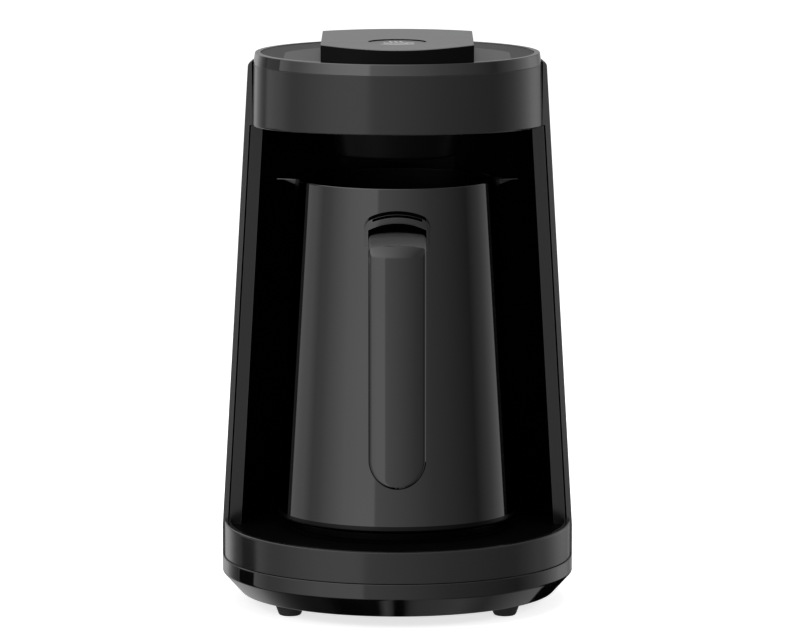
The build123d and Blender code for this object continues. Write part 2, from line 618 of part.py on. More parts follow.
def make_rear_housing():
    """The outer shell of the column: an oval, tapering tube, closed above round the head."""
    bevel_z = HOUSING_TOP_Z - HOUSING_EDGE
    outside = rear_oval([
        (chamfer_radius(HOUSING_FOOT_Z), HOUSING_FOOT_Z), (BASE_RADIUS, BAND_Z),
        (BASE_RADIUS, DECK_Z), (housing_radius(bevel_z), bevel_z),
        (HOUSING_TOP_RADIUS - HOUSING_EDGE, HOUSING_TOP_Z)])
    inner = BASE_RADIUS - HOUSING_WALL
    roof_z = HOUSING_TOP_Z - HOUSING_WALL
    hollow = rear_oval([(inner, HOUSING_FOOT_Z - CUT), (inner, DECK_Z),
                        (housing_radius(roof_z) - HOUSING_WALL, roof_z)])
    shell = outside - hollow
    flange = GLAND_RADIUS + GLAND_FLANGE
    pad_half = flange + GLAND_PAD_MARGIN
    pad_back = rear_depth(inner, flange)
    pad = slab(-pad_half, pad_half, pad_back - GLAND_PAD, BASE_RADIUS + REAR_REACH,
               COVER_RIM_Z + TOUCH_GAP, DECK_FOOT_Z - TOUCH_GAP)
    shell += pad & outside
    for x, y in housing_screw_places():
        post = disc(BOSS_RADIUS, BAND_Z, BAND_Z + HOUSING_POST_HEIGHT, x, y)
        rib = slab(x - LIP_WALL / 2, x + LIP_WALL / 2, y, rear_depth(BASE_RADIUS, x),
                   COVER_RIM_Z + TOUCH_GAP, DECK_FOOT_Z - TOUCH_GAP)
        shell += (post + rib) & outside
        shell -= disc(SCREW_RADIUS, BAND_Z, BAND_Z + SCREW_GRIP, x, y)
    shell -= turned([(0, HEAD_Z), (DRUM_RADIUS + DRUM_GAP, HEAD_Z),
                     (DRUM_TOP_RADIUS + DRUM_GAP, DRUM_TOP_Z),
                     (DRUM_TOP_RADIUS + DRUM_GAP, HOUSING_TOP_Z + CUT), (0, HOUSING_TOP_Z + CUT)])
    gland_y = gland_face_y()
    shell -= rod_y(GLAND_RADIUS, 0, gland_y + CUT, 0, GLAND_Z)
    shell -= rod_y(flange, gland_y - GLAND_FLANGE_THICKNESS, gland_y + CUT, 0, GLAND_Z)
    first = -(VENT_COUNT - 1) / 2
    for index in range(VENT_COUNT):
        x = (first + index) * VENT_PITCH
        shell -= slab(x - VENT_WIDTH / 2, x + VENT_WIDTH / 2, BASE_RADIUS, BASE_RADIUS + CUT,
                      VENT_FOOT, VENT_FOOT + VENT_HEIGHT)
    return shell


def gland_face_y():
    """The gland's outer face: sunk a little into the back of the housing."""
    return BASE_RADIUS + REAR_REACH - GLAND_POCKET + GLAND_FLANGE_THICKNESS


def make_cord_gland():
    """The bush that guards the mains lead where it enters the housing."""
    face_y = gland_face_y()
    seat_y = face_y - GLAND_FLANGE_THICKNESS
    gland = rod_y(GLAND_RADIUS + GLAND_FLANGE, seat_y, face_y, 0, GLAND_Z)
    gland += rod_y(GLAND_RADIUS, seat_y - GLAND_TAIL, seat_y, 0, GLAND_Z)
    return gland - rod_y(GLAND_BORE, seat_y - GLAND_TAIL, face_y, 0, GLAND_Z)


# ---- head ----
def make_drum():
    """The round band of the head, with a lip for the underside and ears for its screws."""
    inner_foot = DRUM_RADIUS - DRUM_WALL
    drum = turned([
        (inner_foot - DRUM_LIP, HEAD_Z), (DRUM_RADIUS - DRUM_BEVEL, HEAD_Z),
        (drum_radius(HEAD_Z + DRUM_BEVEL), HEAD_Z + DRUM_BEVEL), (DRUM_TOP_RADIUS, DRUM_TOP_Z),
        (DRUM_TOP_RADIUS - DRUM_WALL, DRUM_TOP_Z), (inner_foot, UNDERSIDE_Z + UNDERSIDE_THICKNESS),
        (inner_foot, UNDERSIDE_Z), (inner_foot - DRUM_LIP, UNDERSIDE_Z)])
    drum -= wedge(HEAD_Z, DRUM_SLOPE, down=True)
    hollow = disc(inner_foot, HEAD_Z, DRUM_TOP_Z)
    for x, y in ear_places():
        drum += disc(EAR_RADIUS, HEAD_Z, HEAD_Z + EAR_HEIGHT, x, y) - hollow
        drum -= disc(SCREW_HOLE_RADIUS, HEAD_Z, HEAD_Z + EAR_HEIGHT, x, y)
    half_window = WINDOW_WIDTH / 2
    window_z = UNDERSIDE_Z + UNDERSIDE_THICKNESS + WINDOW_SILL
    drum -= slab(-half_window, half_window, 0, DRUM_RADIUS + EAR_REACH + EAR_RADIUS,
                 window_z, window_z + WINDOW_HEIGHT)
    return drum


def make_underside():
    """The plate that closes the head from below and carries the foam sensor's hood."""
    edge = DRUM_RADIUS - DRUM_WALL - TOUCH_GAP
    top_z = UNDERSIDE_Z + UNDERSIDE_THICKNESS
    plate = disc(edge, UNDERSIDE_Z, top_z) - disc(LEAD_HOLE_RADIUS, UNDERSIDE_Z, top_z)
    for angle in HOOD_POST_ANGLES:
        x, y = around(HOOD_POST_REACH, angle)
        plate -= disc(SCREW_HOLE_RADIUS, UNDERSIDE_Z, top_z, x, y)
    return plate


def make_trim_ring():
    """The polished ring on the drum, stepped inside to seat the top plate."""
    return turned([
        (TRIM_INNER_RADIUS, DRUM_TOP_Z), (DRUM_TOP_RADIUS, DRUM_TOP_Z),
        (TRIM_TOP_RADIUS, TRIM_TOP_Z - TRIM_BEVEL), (TRIM_TOP_RADIUS - TRIM_BEVEL, TRIM_TOP_Z),
        (TRIM_SEAT_RADIUS, TRIM_TOP_Z), (TRIM_SEAT_RADIUS, TOP_PLATE_Z),
        (TRIM_INNER_RADIUS, TOP_PLATE_Z)])


def board_hole_places():
    """Where the control board hangs on the top plate's pillars."""
    x = BOARD_HALF_WIDTH - PILLAR_INSET
    return [(side * x, y) for side in (-1, 1)
            for y in (BOARD_FRONT + PILLAR_INSET, BOARD_BACK - PILLAR_INSET)]


def block_screw_places():
    """Where the control block is screwed down from inside the head."""
    x = BLOCK_HALF_WIDTH - BLOCK_SCREW_INSET
    return [(side * x, y) for side in (-1, 1) for y in BLOCK_SCREW_YS]


def make_top_plate():
    """The round top of the head, with pillars for the control board under it."""
    plate = disc(TRIM_SEAT_RADIUS - TOUCH_GAP / 2, TOP_PLATE_Z, TRIM_TOP_Z)
    for x, y in board_hole_places():
        plate += disc(PILLAR_RADIUS, BOARD_Z, TOP_PLATE_Z, x, y)
        plate -= disc(SCREW_RADIUS, BOARD_Z, TOP_PLATE_Z - SCREW_RADIUS, x, y)
    plate -= disc(button_well_radius(), TOP_PLATE_Z, TRIM_TOP_Z, 0, BUTTON_Y)
    for x, y in block_screw_places():
        plate -= disc(SCREW_HOLE_RADIUS, TOP_PLATE_Z, TRIM_TOP_Z, x, y)
    return plate


def button_well_radius():
    """The hole in the top plate over the button's spring and its lamp."""
    spring = BUTTON_SPRING_RADIUS + BUTTON_SPRING_WIRE
    return max(spring, LAMP_X + LAMP_RADIUS) + MOVING_GAP


# ---- control block and button ----
def block_plan(inset):
    """The block's plan: straight sides between the trim's front arc and a rear arc."""
    front = Circle(TRIM_TOP_RADIUS - BLOCK_INSET - inset)
    rear = Pos(0, BLOCK_REAR_CENTRE) * Circle(BLOCK_REAR_RADIUS - inset)
    return Rectangle(2 * (BLOCK_HALF_WIDTH - inset), 4 * TRIM_TOP_RADIUS) & front & rear


def block_profile(top_z):
    """A solid below the block's top face, which rolls down towards the front."""
    far = TRIM_TOP_RADIUS + CUT
    reach = BLOCK_FALL_START + TRIM_TOP_RADIUS
    drop = BLOCK_FALL_RADIUS - sqrt(BLOCK_FALL_RADIUS ** 2 - reach ** 2)
    start = (BLOCK_FALL_START, top_z)
    end = (-TRIM_TOP_RADIUS, top_z - drop)
    half = reach / 2
    half_drop = BLOCK_FALL_RADIUS - sqrt(BLOCK_FALL_RADIUS ** 2 - half ** 2)
    outline = [
        Line((far, top_z), start),
        ThreePointArc(start, (BLOCK_FALL_START - half, top_z - half_drop), end),
        Polyline(end, (-TRIM_TOP_RADIUS, TOP_PLATE_Z - CUT), (far, TOP_PLATE_Z - CUT),
                 (far, top_z))]
    return extrude(Plane.YZ * make_face(outline), BLOCK_HALF_WIDTH + CUT, both=True)


def make_control_block():
    """The raised block across the top plate: hollow below, with a round hole for the button."""
    body = Pos(0, 0, TRIM_TOP_Z) * extrude(block_plan(0), BLOCK_HEIGHT)
    body &= block_profile(BLOCK_TOP_Z)
    rim = body.edges().filter_by(lambda e: e.center().Z > CEILING_Z)
    body = chamfer(rim, BLOCK_EDGE)
    body -= Pos(0, 0, TRIM_TOP_Z) * extrude(block_plan(BLOCK_WALL), CEILING_Z - TRIM_TOP_Z)
    for x, y in block_screw_places():
        body += disc(BLOCK_BOSS_RADIUS, TRIM_TOP_Z, CEILING_Z, x, y)
        body -= disc(SCREW_RADIUS, TRIM_TOP_Z, CEILING_Z, x, y)
    body -= disc(BUTTON_RADIUS + MOVING_GAP, TRIM_TOP_Z, BLOCK_TOP_Z + CUT, 0, BUTTON_Y)
    return body


def button_foot_z():
    """The lower face of the button's flange at rest."""
    return CEILING_Z - BUTTON_STOP_GAP - BUTTON_FLANGE_HEIGHT


def key_top_z():
    """The top of the key switch under the button."""
    return BOARD_Z + KEY_HEIGHT


def make_start_button():
    """The round key, flush with the block, held from below by its flange."""
    foot_z = button_foot_z()
    cap = disc(BUTTON_RADIUS, foot_z, BLOCK_TOP_Z, 0, BUTTON_Y) & block_profile(BLOCK_TOP_Z)
    cap += disc(BUTTON_RADIUS + BUTTON_FLANGE, foot_z, foot_z + BUTTON_FLANGE_HEIGHT, 0, BUTTON_Y)
    stem_z = key_top_z() + BUTTON_TRAVEL + BUTTON_STOP_GAP
    return cap + disc(BUTTON_STEM_RADIUS, stem_z, foot_z, 0, BUTTON_Y)


def make_button_spring():
    """The coil round the button's stem, between the board and the flange."""
    return coil(BUTTON_SPRING_RADIUS, BUTTON_SPRING_WIRE, BUTTON_SPRING_TURNS, BOARD_Z,
                button_foot_z(), BUTTON_Y)


# ---- control board ----
def make_control_board():
    """The circuit board under the top plate."""
    board = slab(-BOARD_HALF_WIDTH, BOARD_HALF_WIDTH, BOARD_FRONT, BOARD_BACK,
                 BOARD_Z - BOARD_THICKNESS, BOARD_Z)
    for x, y in board_hole_places():
        board -= disc(SCREW_HOLE_RADIUS, BOARD_Z - BOARD_THICKNESS, BOARD_Z, x, y)
    return board


def make_key_switch():
    """The key switch that the button's stem presses."""
    half = KEY_SIDE / 2
    case_z = BOARD_Z + KEY_CASE_HEIGHT
    body = slab(-half, half, BUTTON_Y - half, BUTTON_Y + half, BOARD_Z, case_z)
    return body + disc(KEY_PLUNGER_RADIUS, BOARD_Z, key_top_z(), 0, BUTTON_Y)


def make_lamp():
    """The small lamp that lights the button's sign from below."""
    top_z = BOARD_Z + LAMP_HEIGHT
    body = disc(LAMP_RADIUS, BOARD_Z, top_z, LAMP_X, BUTTON_Y)
    return body + Pos(LAMP_X, BUTTON_Y, top_z) * Sphere(LAMP_RADIUS)


def make_buzzer():
    """The buzzer that tells that the coffee is done."""
    x, y = BUZZER_PLACE
    top_z = BOARD_Z + BUZZER_HEIGHT
    body = disc(BUZZER_RADIUS, BOARD_Z, top_z, x, y)
    return body - disc(BUZZER_HOLE, top_z - BUZZER_HOLE, top_z, x, y)


def make_loom_plug():
    """The plug of the loom, under the back edge of the control board."""
    width, depth, height = PLUG_SIZE
    top_z = BOARD_Z - BOARD_THICKNESS
    return slab(PLUG_X - width / 2, PLUG_X + width / 2, BOARD_BACK - depth, BOARD_BACK,
                top_z - height, top_z)


# ---- foam sensor ----
def make_sensor_hood():
    """The cup under the head that holds the foam sensor above the pot."""
    hood = turned([
        (LENS_RADIUS, HOOD_FOOT_Z), (HOOD_FOOT_RADIUS - HOOD_BEVEL, HOOD_FOOT_Z),
        (HOOD_FOOT_RADIUS, HOOD_FOOT_Z + HOOD_BEVEL), (HOOD_TOP_RADIUS, UNDERSIDE_Z),
        (HOOD_TOP_RADIUS - HOOD_WALL, UNDERSIDE_Z), (HOOD_FOOT_RADIUS - HOOD_WALL, HOOD_FLOOR_Z),
        (LENS_RADIUS, HOOD_FLOOR_Z)])
    for angle in HOOD_POST_ANGLES:
        x, y = around(HOOD_POST_REACH, angle)
        hood += disc(HOOD_POST_RADIUS, HOOD_FLOOR_Z, UNDERSIDE_Z, x, y)
        hood -= disc(SCREW_RADIUS, UNDERSIDE_Z - SCREW_GRIP, UNDERSIDE_Z, x, y)
    for angle in SENSOR_POST_ANGLES:
        x, y = around(SENSOR_POST_REACH, angle)
        hood += disc(SENSOR_POST_RADIUS, HOOD_FLOOR_Z, SENSOR_BOARD_Z, x, y)
    return hood


def make_sensor_lens():
    """The clear window in the hood's floor, held by its flange."""
    radius = LENS_RADIUS - TOUCH_GAP / 2
    lens = disc(radius, HOOD_FLOOR_Z - LENS_THICKNESS, HOOD_FLOOR_Z)
    return lens + disc(radius + LENS_FLANGE, HOOD_FLOOR_Z, HOOD_FLOOR_Z + LENS_THICKNESS / 2)


def make_sensor_board():
    """The foam sensor's own board, on three posts of the hood."""
    return disc(SENSOR_BOARD_RADIUS, SENSOR_BOARD_Z, SENSOR_BOARD_Z + BOARD_THICKNESS)


def make_foam_sensor():
    """The heat-seeing can that looks down through the lens."""
    return disc(SENSOR_CAN_RADIUS, HOOD_FLOOR_Z + LENS_THICKNESS, SENSOR_BOARD_Z)


# ---- hot plate and heater ----
def make_hot_plate():
    """The steel plate that the pot stands on: a shallow cap with three studs below."""
    under_z = HOT_PLATE_Z - HOT_PLATE_METAL
    foot_z = DECK_Z + GASKET_HEIGHT
    inner = HOT_PLATE_RADIUS - HOT_PLATE_METAL
    hole = sensor_hole_radius()
    plate = turned([
        (hole, HOT_PLATE_Z), (HOT_PLATE_RADIUS - HOT_PLATE_METAL / 2, HOT_PLATE_Z),
        (HOT_PLATE_RADIUS, HOT_PLATE_Z - HOT_PLATE_METAL / 2), (HOT_PLATE_RADIUS, foot_z),
        (inner, foot_z), (inner, under_z), (hole, under_z)])
    for angle in STUD_ANGLES:
        x, y = around(STUD_REACH, angle)
        plate += disc(STUD_RADIUS, SHIELD_Z - NUT_HEIGHT - STUD_TAIL, under_z, x, y)
    return plate


def sensor_hole_radius():
    """The hole in the hot plate round the pot sensor's guide."""
    return guide_radius() + TOUCH_GAP / 2


def make_gasket():
    """The seal between the hot plate's rim and the deck."""
    middle = HOT_PLATE_RADIUS - HOT_PLATE_METAL / 2
    half = GASKET_WIDTH / 2
    top_z = DECK_Z + GASKET_HEIGHT
    return turned([(middle - half, DECK_Z), (middle + half, DECK_Z), (middle + half, top_z),
                   (middle - half, top_z)])


def terminal_places():
    """The heating element's two ends, at its back."""
    return [around(ELEMENT_RADIUS, 90 + side * ELEMENT_GAP_ANGLE) for side in (-1, 1)]


def make_element():
    """The sheathed heater: an open ring under the plate, with a terminal at each end."""
    ring_z = HOT_PLATE_Z - HOT_PLATE_METAL - ELEMENT_TUBE_RADIUS
    profile = Pos(ELEMENT_RADIUS, ring_z) * Circle(ELEMENT_TUBE_RADIUS)
    ring = revolve(Plane.XZ * profile, Axis.Z, 360 - 2 * ELEMENT_GAP_ANGLE)
    element = Rot(0, 0, 90 + ELEMENT_GAP_ANGLE) * ring
    for x, y in terminal_places():
        element += disc(TERMINAL_RADIUS, TERMINAL_Z, ring_z, x, y)
    return element


def make_beads():
    """The ceramic beads that keep the terminals off the heat shield."""
    beads = []
    for x, y in terminal_places():
        low_z = SHIELD_Z - BEAD_HEIGHT / 2
        bead = disc(BEAD_RADIUS, low_z, low_z + BEAD_HEIGHT, x, y)
        beads.append(bead - disc(TERMINAL_RADIUS, low_z, low_z + BEAD_HEIGHT, x, y))
    return beads


def make_heat_shield():
    """The bright dish under the heater, clamped by the plate's studs."""
    inner = SHIELD_RADIUS - SHIELD_METAL
    floor_z = SHIELD_Z + SHIELD_METAL
    edge = SHIELD_RADIUS + SHIELD_FLANGE
    hole = guide_radius() + MOVING_GAP
    shield = turned([
        (hole, SHIELD_Z), (SHIELD_RADIUS, SHIELD_Z), (SHIELD_RADIUS, DECK_FOOT_Z - SHIELD_METAL),
        (edge, DECK_FOOT_Z - SHIELD_METAL), (edge, DECK_FOOT_Z), (inner, DECK_FOOT_Z),
        (inner, floor_z), (hole, floor_z)])
    for x, y in terminal_places():
        shield -= disc(BEAD_RADIUS, SHIELD_Z, floor_z, x, y)
    for angle in STUD_ANGLES:
        x, y = around(STUD_REACH, angle)
        shield -= disc(STUD_RADIUS, SHIELD_Z, floor_z, x, y)
    return shield


def make_plate_nuts():
    """The three nuts that pull the hot plate and the shield against the deck."""
    nuts = []
    for angle in STUD_ANGLES:
        x, y = around(STUD_REACH, angle)
        hexagon = RegularPolygon(NUT_SIDE, 6, major_radius=False)
        nut = Pos(x, y, SHIELD_Z - NUT_HEIGHT) * extrude(hexagon, NUT_HEIGHT)
        nuts.append(nut - disc(STUD_RADIUS, SHIELD_Z - NUT_HEIGHT, SHIELD_Z, x, y))
    return nuts


def make_thermal_fuse():
    """The fuse that lies against the underside of the plate."""
    z = HOT_PLATE_Z - HOT_PLATE_METAL - FUSE_RADIUS
    return Pos(0, FUSE_Y, z) * Rot(0, 90, 0) * Cylinder(FUSE_RADIUS, FUSE_LENGTH)


# ---- pot sensor ----
def guide_radius():
    """Outside of the pot sensor's guide."""
    return PLUNGER_RADIUS + MOVING_GAP + GUIDE_WALL


def guide_floor_z():
    """The top of the guide's floor, where the spring stands."""
    return HOT_PLATE_Z - GUIDE_DEPTH


def make_sensor_guide():
    """The cup in the middle of the plate in which the pot sensor slides."""
    outer = guide_radius()
    inner = outer - GUIDE_WALL
    bore = PLUNGER_STEM_RADIUS + BORE_PLAY
    under_z = HOT_PLATE_Z - HOT_PLATE_METAL
    floor_z = guide_floor_z()
    flange = outer + GUIDE_FLANGE
    return turned([
        (bore, floor_z - GUIDE_FLOOR), (outer, floor_z - GUIDE_FLOOR),
        (outer, under_z - GUIDE_FLANGE_HEIGHT), (flange, under_z - GUIDE_FLANGE_HEIGHT),
        (flange, under_z), (outer, under_z), (outer, HOT_PLATE_Z - TOUCH_GAP),
        (inner, HOT_PLATE_Z - TOUCH_GAP), (inner, floor_z), (bore, floor_z)])


def make_sensor_plunger():
    """The pot sensor: a cap on a stem, with a stop under the guide's floor."""
    cap_z = HOT_PLATE_Z - PLUNGER_CAP
    stop_z = guide_floor_z() - GUIDE_FLOOR - PLUNGER_RISE
    foot_z = stop_z - PLUNGER_STOP_HEIGHT
    body = disc(PLUNGER_RADIUS, cap_z, HOT_PLATE_Z) + disc(PLUNGER_STEM_RADIUS, foot_z, cap_z)
    return body + disc(PLUNGER_STOP_RADIUS, foot_z, stop_z)


def make_sensor_spring():
    """The coil that lifts the pot sensor."""
    return coil(SENSOR_SPRING_RADIUS, SENSOR_SPRING_WIRE, SENSOR_SPRING_TURNS, guide_floor_z(),
                HOT_PLATE_Z - PLUNGER_CAP)


# ---- pot ----
def spout_section(share, inset):
    """One cross-section of a spout, from its root (share 0) to its tip (share 1)."""
    x = POT_RIM_RADIUS - SPOUT_ROOT + share * (SPOUT_ROOT + SPOUT_TIP)
    fade = (1 - share) ** 2
    width = SPOUT_TIP_HALF_WIDTH + fade * (SPOUT_ROOT_HALF_WIDTH - SPOUT_TIP_HALF_WIDTH) - inset
    depth = SPOUT_TIP_DEPTH + fade * (SPOUT_ROOT_DEPTH - SPOUT_TIP_DEPTH) - inset
    arc = EllipticalCenterArc((0, 0), width, depth, start_angle=180, arc_size=180)
    lip = [arc, Line(arc @ 1, (width, inset)), Line((width, inset), (-width, inset)),
           Line((-width, inset), arc @ 0)] if inset else [arc, Line(arc @ 1, arc @ 0)]
    return Plane(origin=(x, 0, RIM_Z), x_dir=(0, 1, 0), z_dir=(1, 0, 0)) * make_face(lip)


def spout(inset):
    """A beak that narrows from the pot's wall to its tip, level with the rim."""
    last = 1.0 + (0.1 if inset else 0.0)
    shares = [last * step / (SPOUT_STATIONS - 1) for step in range(SPOUT_STATIONS)]
    return loft([spout_section(share, inset) for share in shares], ruled=True)


def pot_outside():
    """The full cone of the pot, from its bottom to its rim."""
    cone = turned([(0, POT_Z), (POT_FOOT_RADIUS, POT_Z), (POT_RIM_RADIUS, RIM_Z), (0, RIM_Z)])
    return fillet(cone.edges().group_by(Axis.Z)[0], POT_FOOT_ROUND)


def make_pot_body():
    """The conical steel pot with a pouring spout at each side."""
    floor_z = POT_Z + POT_BOTTOM
    inner_foot = pot_radius(floor_z) - POT_WALL
    inner_rim = POT_RIM_RADIUS - POT_WALL
    hollow = turned([(0, floor_z), (inner_foot, floor_z), (inner_rim, RIM_Z), (0, RIM_Z)])
    hollow = fillet(hollow.edges().group_by(Axis.Z)[0], POT_INNER_ROUND)
    beak, channel = spout(0.0), spout(SPOUT_WALL)
    pot = pot_outside() + beak + mirror(beak, Plane.YZ)
    return pot - hollow - channel - mirror(channel, Plane.YZ)


def arched(half_width, foot_z, crown_z, rise, y_low, y_high):
    """A slab across the pot's front with upright sides and an arched top."""
    shoulder_z = crown_z - rise
    left, right = (-half_width, shoulder_z), (half_width, shoulder_z)
    outline = [ThreePointArc(left, (0, crown_z), right),
               Polyline(right, (half_width, foot_z), (-half_width, foot_z), left)]
    face = Plane(origin=(0, y_high, 0), x_dir=(1, 0, 0), z_dir=(0, -1, 0)) * make_face(outline)
    return extrude(face, y_high - y_low)


def tongue_z():
    """The underside of the bracket's tongue."""
    return HANDLE_TOP_Z - TONGUE_ROOF - TONGUE_THICKNESS


def root_back_y():
    """The handle's end inside the bracket."""
    return -(pot_radius(HANDLE_ROOT_Z) + BRACKET_BACK_WALL + TOUCH_GAP)


def make_handle_bracket():
    """The arched bracket welded to the pot, with a tongue that the handle is screwed to."""
    mouth_z = HANDLE_TOP_Z + BRACKET_MOUTH_GAP
    crown_z = mouth_z + BRACKET_ROOF
    foot_z = HANDLE_ROOT_Z + BRACKET_FOOT_LIFT
    back_y = root_back_y() + TOUCH_GAP
    bracket = arched(BRACKET_HALF_WIDTH, foot_z, crown_z, BRACKET_ARCH, -BRACKET_FRONT, 0)
    bracket -= arched(BRACKET_HALF_WIDTH - BRACKET_SIDE_WALL, foot_z - CUT, mouth_z,
                      BRACKET_MOUTH_ARCH, -BRACKET_FRONT - CUT, back_y)
    low_z = tongue_z()
    bracket += slab(-TONGUE_HALF_WIDTH, TONGUE_HALF_WIDTH, -BRACKET_FRONT - TONGUE_REACH, back_y,
                    low_z, low_z + TONGUE_THICKNESS)
    bracket -= pot_outside()
    return bracket - disc(SCREW_RADIUS, low_z, low_z + TONGUE_THICKNESS, 0, handle_screw_y())


def handle_screw_y():
    """Where the screw goes through the tongue."""
    return -BRACKET_FRONT - HANDLE_SCREW_REACH


def make_pot_handle():
    """The long handle: straight out of the bracket, round a bend and down to a rounded end."""
    low_z = HANDLE_TOP_Z - HANDLE_LENGTH
    front_y = -HANDLE_FRONT
    path = FilletPolyline((0, root_back_y(), HANDLE_TOP_Z), (0, front_y, HANDLE_TOP_Z),
                          (0, front_y, low_z), radius=HANDLE_BEND)
    edge = HANDLE_CROWN
    back = HANDLE_THICKNESS
    half = HANDLE_HALF_WIDTH
    outline = [ThreePointArc((-half, -edge), (0, 0), (half, -edge)),
               Polyline((half, -edge), (half, -back), (-half, -back), (-half, -edge))]
    start = Plane(origin=(0, root_back_y(), HANDLE_TOP_Z), x_dir=(1, 0, 0), z_dir=(0, -1, 0))
    handle = sweep(start * make_face(outline), path=path)
    corner_z = low_z + half
    ends = slab(-half - CUT, half + CUT, front_y - CUT, front_y + 2 * back, low_z - CUT, corner_z)
    ends -= rod_y(half, front_y - CUT, front_y + 2 * back, 0, corner_z)
    handle -= ends
    slot_z = tongue_z()
    gap = TOUCH_GAP / 2
    half_slot = TONGUE_HALF_WIDTH + gap
    handle -= slab(-half_slot, half_slot, -BRACKET_FRONT - TONGUE_REACH - TOUCH_GAP, 0,
                   slot_z - gap, slot_z + TONGUE_THICKNESS + gap)
    y = handle_screw_y()
    handle -= disc(SCREW_RADIUS, HANDLE_ROOT_Z, slot_z, 0, y)
    return handle - disc(SCREW_HEAD_RADIUS, HANDLE_ROOT_Z, handle_seat_z(), 0, y)


def handle_seat_z():
    """The seat of the handle screw's head, sunk in the underside of the handle's root."""
    return tongue_z() - TOUCH_GAP / 2 - HANDLE_SCREW_WEB


def make_handle_screw():
    """The screw that holds the handle on the bracket's tongue."""
    grip = tongue_z() + TONGUE_THICKNESS - handle_seat_z()
    return screw_up(0, handle_screw_y(), handle_seat_z(), grip)


# ---- power board ----
def power_board_y():
    """The front face of the power board, behind the liner."""
    return niche_radius(POWER_FOOT) + LINER_WALL + POWER_GAP


def power_screw_places():
    """The board's four holes, as (x, z)."""
    x = POWER_HALF_WIDTH - POWER_HOLE_INSET
    low_z, high_z = POWER_FOOT + POWER_HOLE_INSET, POWER_FOOT + POWER_HEIGHT - POWER_HOLE_INSET
    return [(side * x, z) for side in (-1, 1) for z in (low_z, high_z)]


def make_power_board():
    """The upright circuit board in the column."""
    front_y = power_board_y()
    board = slab(-POWER_HALF_WIDTH, POWER_HALF_WIDTH, front_y, front_y + POWER_THICKNESS,
                 POWER_FOOT, POWER_FOOT + POWER_HEIGHT)
    for x, z in power_screw_places():
        board -= rod_y(SCREW_HOLE_RADIUS, front_y, front_y + POWER_THICKNESS, x, z)
    return board


def on_board(width, depth, height, x, rise):
    """A box-shaped component on the back of the power board."""
    y = power_board_y() + POWER_THICKNESS
    z = POWER_FOOT + rise
    return slab(x - width / 2, x + width / 2, y, y + depth, z, z + height)


def make_capacitor():
    """The smoothing capacitor, standing off the board."""
    x, rise = CAPACITOR_PLACE
    y = power_board_y() + POWER_THICKNESS
    return rod_y(CAPACITOR_RADIUS, y, y + COMPONENT_DEPTH, x, POWER_FOOT + rise)


def make_terminal_block():
    """The terminal block for the mains and the heater, with a screw well over each wire."""
    width, depth, height = TERMINAL_SIZE
    block = on_board(*TERMINAL_SIZE, TERMINAL_X, 0.0)
    back_y = power_board_y() + POWER_THICKNESS + depth
    for side in (-1, 1):
        x = TERMINAL_X + side * width / 4
        block -= rod_y(WIRE_RADIUS, back_y - TERMINAL_WELL, back_y, x, POWER_FOOT + height / 2)
    return block


# ---- wiring ----
def make_heater_wires():
    """Two wires from the element's terminals, along the base and up to the terminal block."""
    width, depth, _ = TERMINAL_SIZE
    board_y = power_board_y() + POWER_THICKNESS + depth / 2
    wires = []
    for (x, y), side in zip(terminal_places(), (1, -1)):
        end_x = TERMINAL_X + side * width / 4
        level = TERMINAL_Z - WIRE_DROP - WIRE_BEND
        path = FilletPolyline((x, y, TERMINAL_Z), (x, y, level), (end_x, board_y, level),
                              (end_x, board_y, POWER_FOOT), radius=WIRE_BEND)
        start = Plane(origin=path @ 0, z_dir=path % 0)
        wires.append(sweep(start * Circle(WIRE_RADIUS), path=path))
    return wires


def make_wiring_loom():
    """The loom from the power board up the column and through the drum to the head."""
    connector_y = power_board_y() + POWER_THICKNESS + CONNECTOR_SIZE[1] / 2
    level = BOARD_Z - BOARD_THICKNESS - PLUG_SIZE[2] / 2
    path = FilletPolyline((PLUG_X, connector_y, POWER_FOOT + POWER_HEIGHT),
                          (PLUG_X, connector_y, level), (PLUG_X, BOARD_BACK, level),
                          radius=LOOM_BEND)
    start = Plane(origin=path @ 0, z_dir=path % 0)
    return sweep(start * Circle(LOOM_RADIUS), path=path)


# ---- screws ----
def make_base_screws():
    """Four screws from below through the tray into the deck."""
    seat_z = SOLE_Z + SCREW_WELL_DEPTH
    grip = BAND_Z + SCREW_GRIP - seat_z
    return [screw_up(x, y, seat_z, grip) for x, y in base_screw_places()]


def make_housing_screws():
    """Two screws from below through the tray into the rear housing."""
    seat_z = SOLE_Z + SCREW_WELL_DEPTH
    grip = BAND_Z + SCREW_GRIP - seat_z
    return [screw_up(x, y, seat_z, grip) for x, y in housing_screw_places()]


def make_liner_screws():
    """Four screws from under the deck into the liner's bosses."""
    grip = DECK_THICKNESS + SCREW_GRIP
    return [screw_up(x, y, DECK_FOOT_Z, grip) for x, y in liner_boss_places()]


def make_head_screws():
    """Three screws through the drum's ears down into the liner."""
    return [screw_down(x, y, HEAD_Z + EAR_HEIGHT, EAR_HEIGHT + SCREW_GRIP) for x, y in ear_places()]


def make_hood_screws():
    """Three screws from inside the head down into the sensor hood's posts."""
    seat_z = UNDERSIDE_Z + UNDERSIDE_THICKNESS
    places = [around(HOOD_POST_REACH, angle) for angle in HOOD_POST_ANGLES]
    return [screw_down(x, y, seat_z, UNDERSIDE_THICKNESS + SCREW_GRIP) for x, y in places]


def make_block_screws():
    """Four screws from inside the head up into the control block."""
    grip = CEILING_Z - TOP_PLATE_Z
    return [screw_up(x, y, TOP_PLATE_Z, grip) for x, y in block_screw_places()]


def make_board_screws():
    """Four screws that hold the control board on its pillars."""
    seat_z = BOARD_Z - BOARD_THICKNESS
    grip = BOARD_THICKNESS + BOARD_DROP - 2 * SCREW_RADIUS
    return [screw_up(x, y, seat_z, grip) for x, y in board_hole_places()]


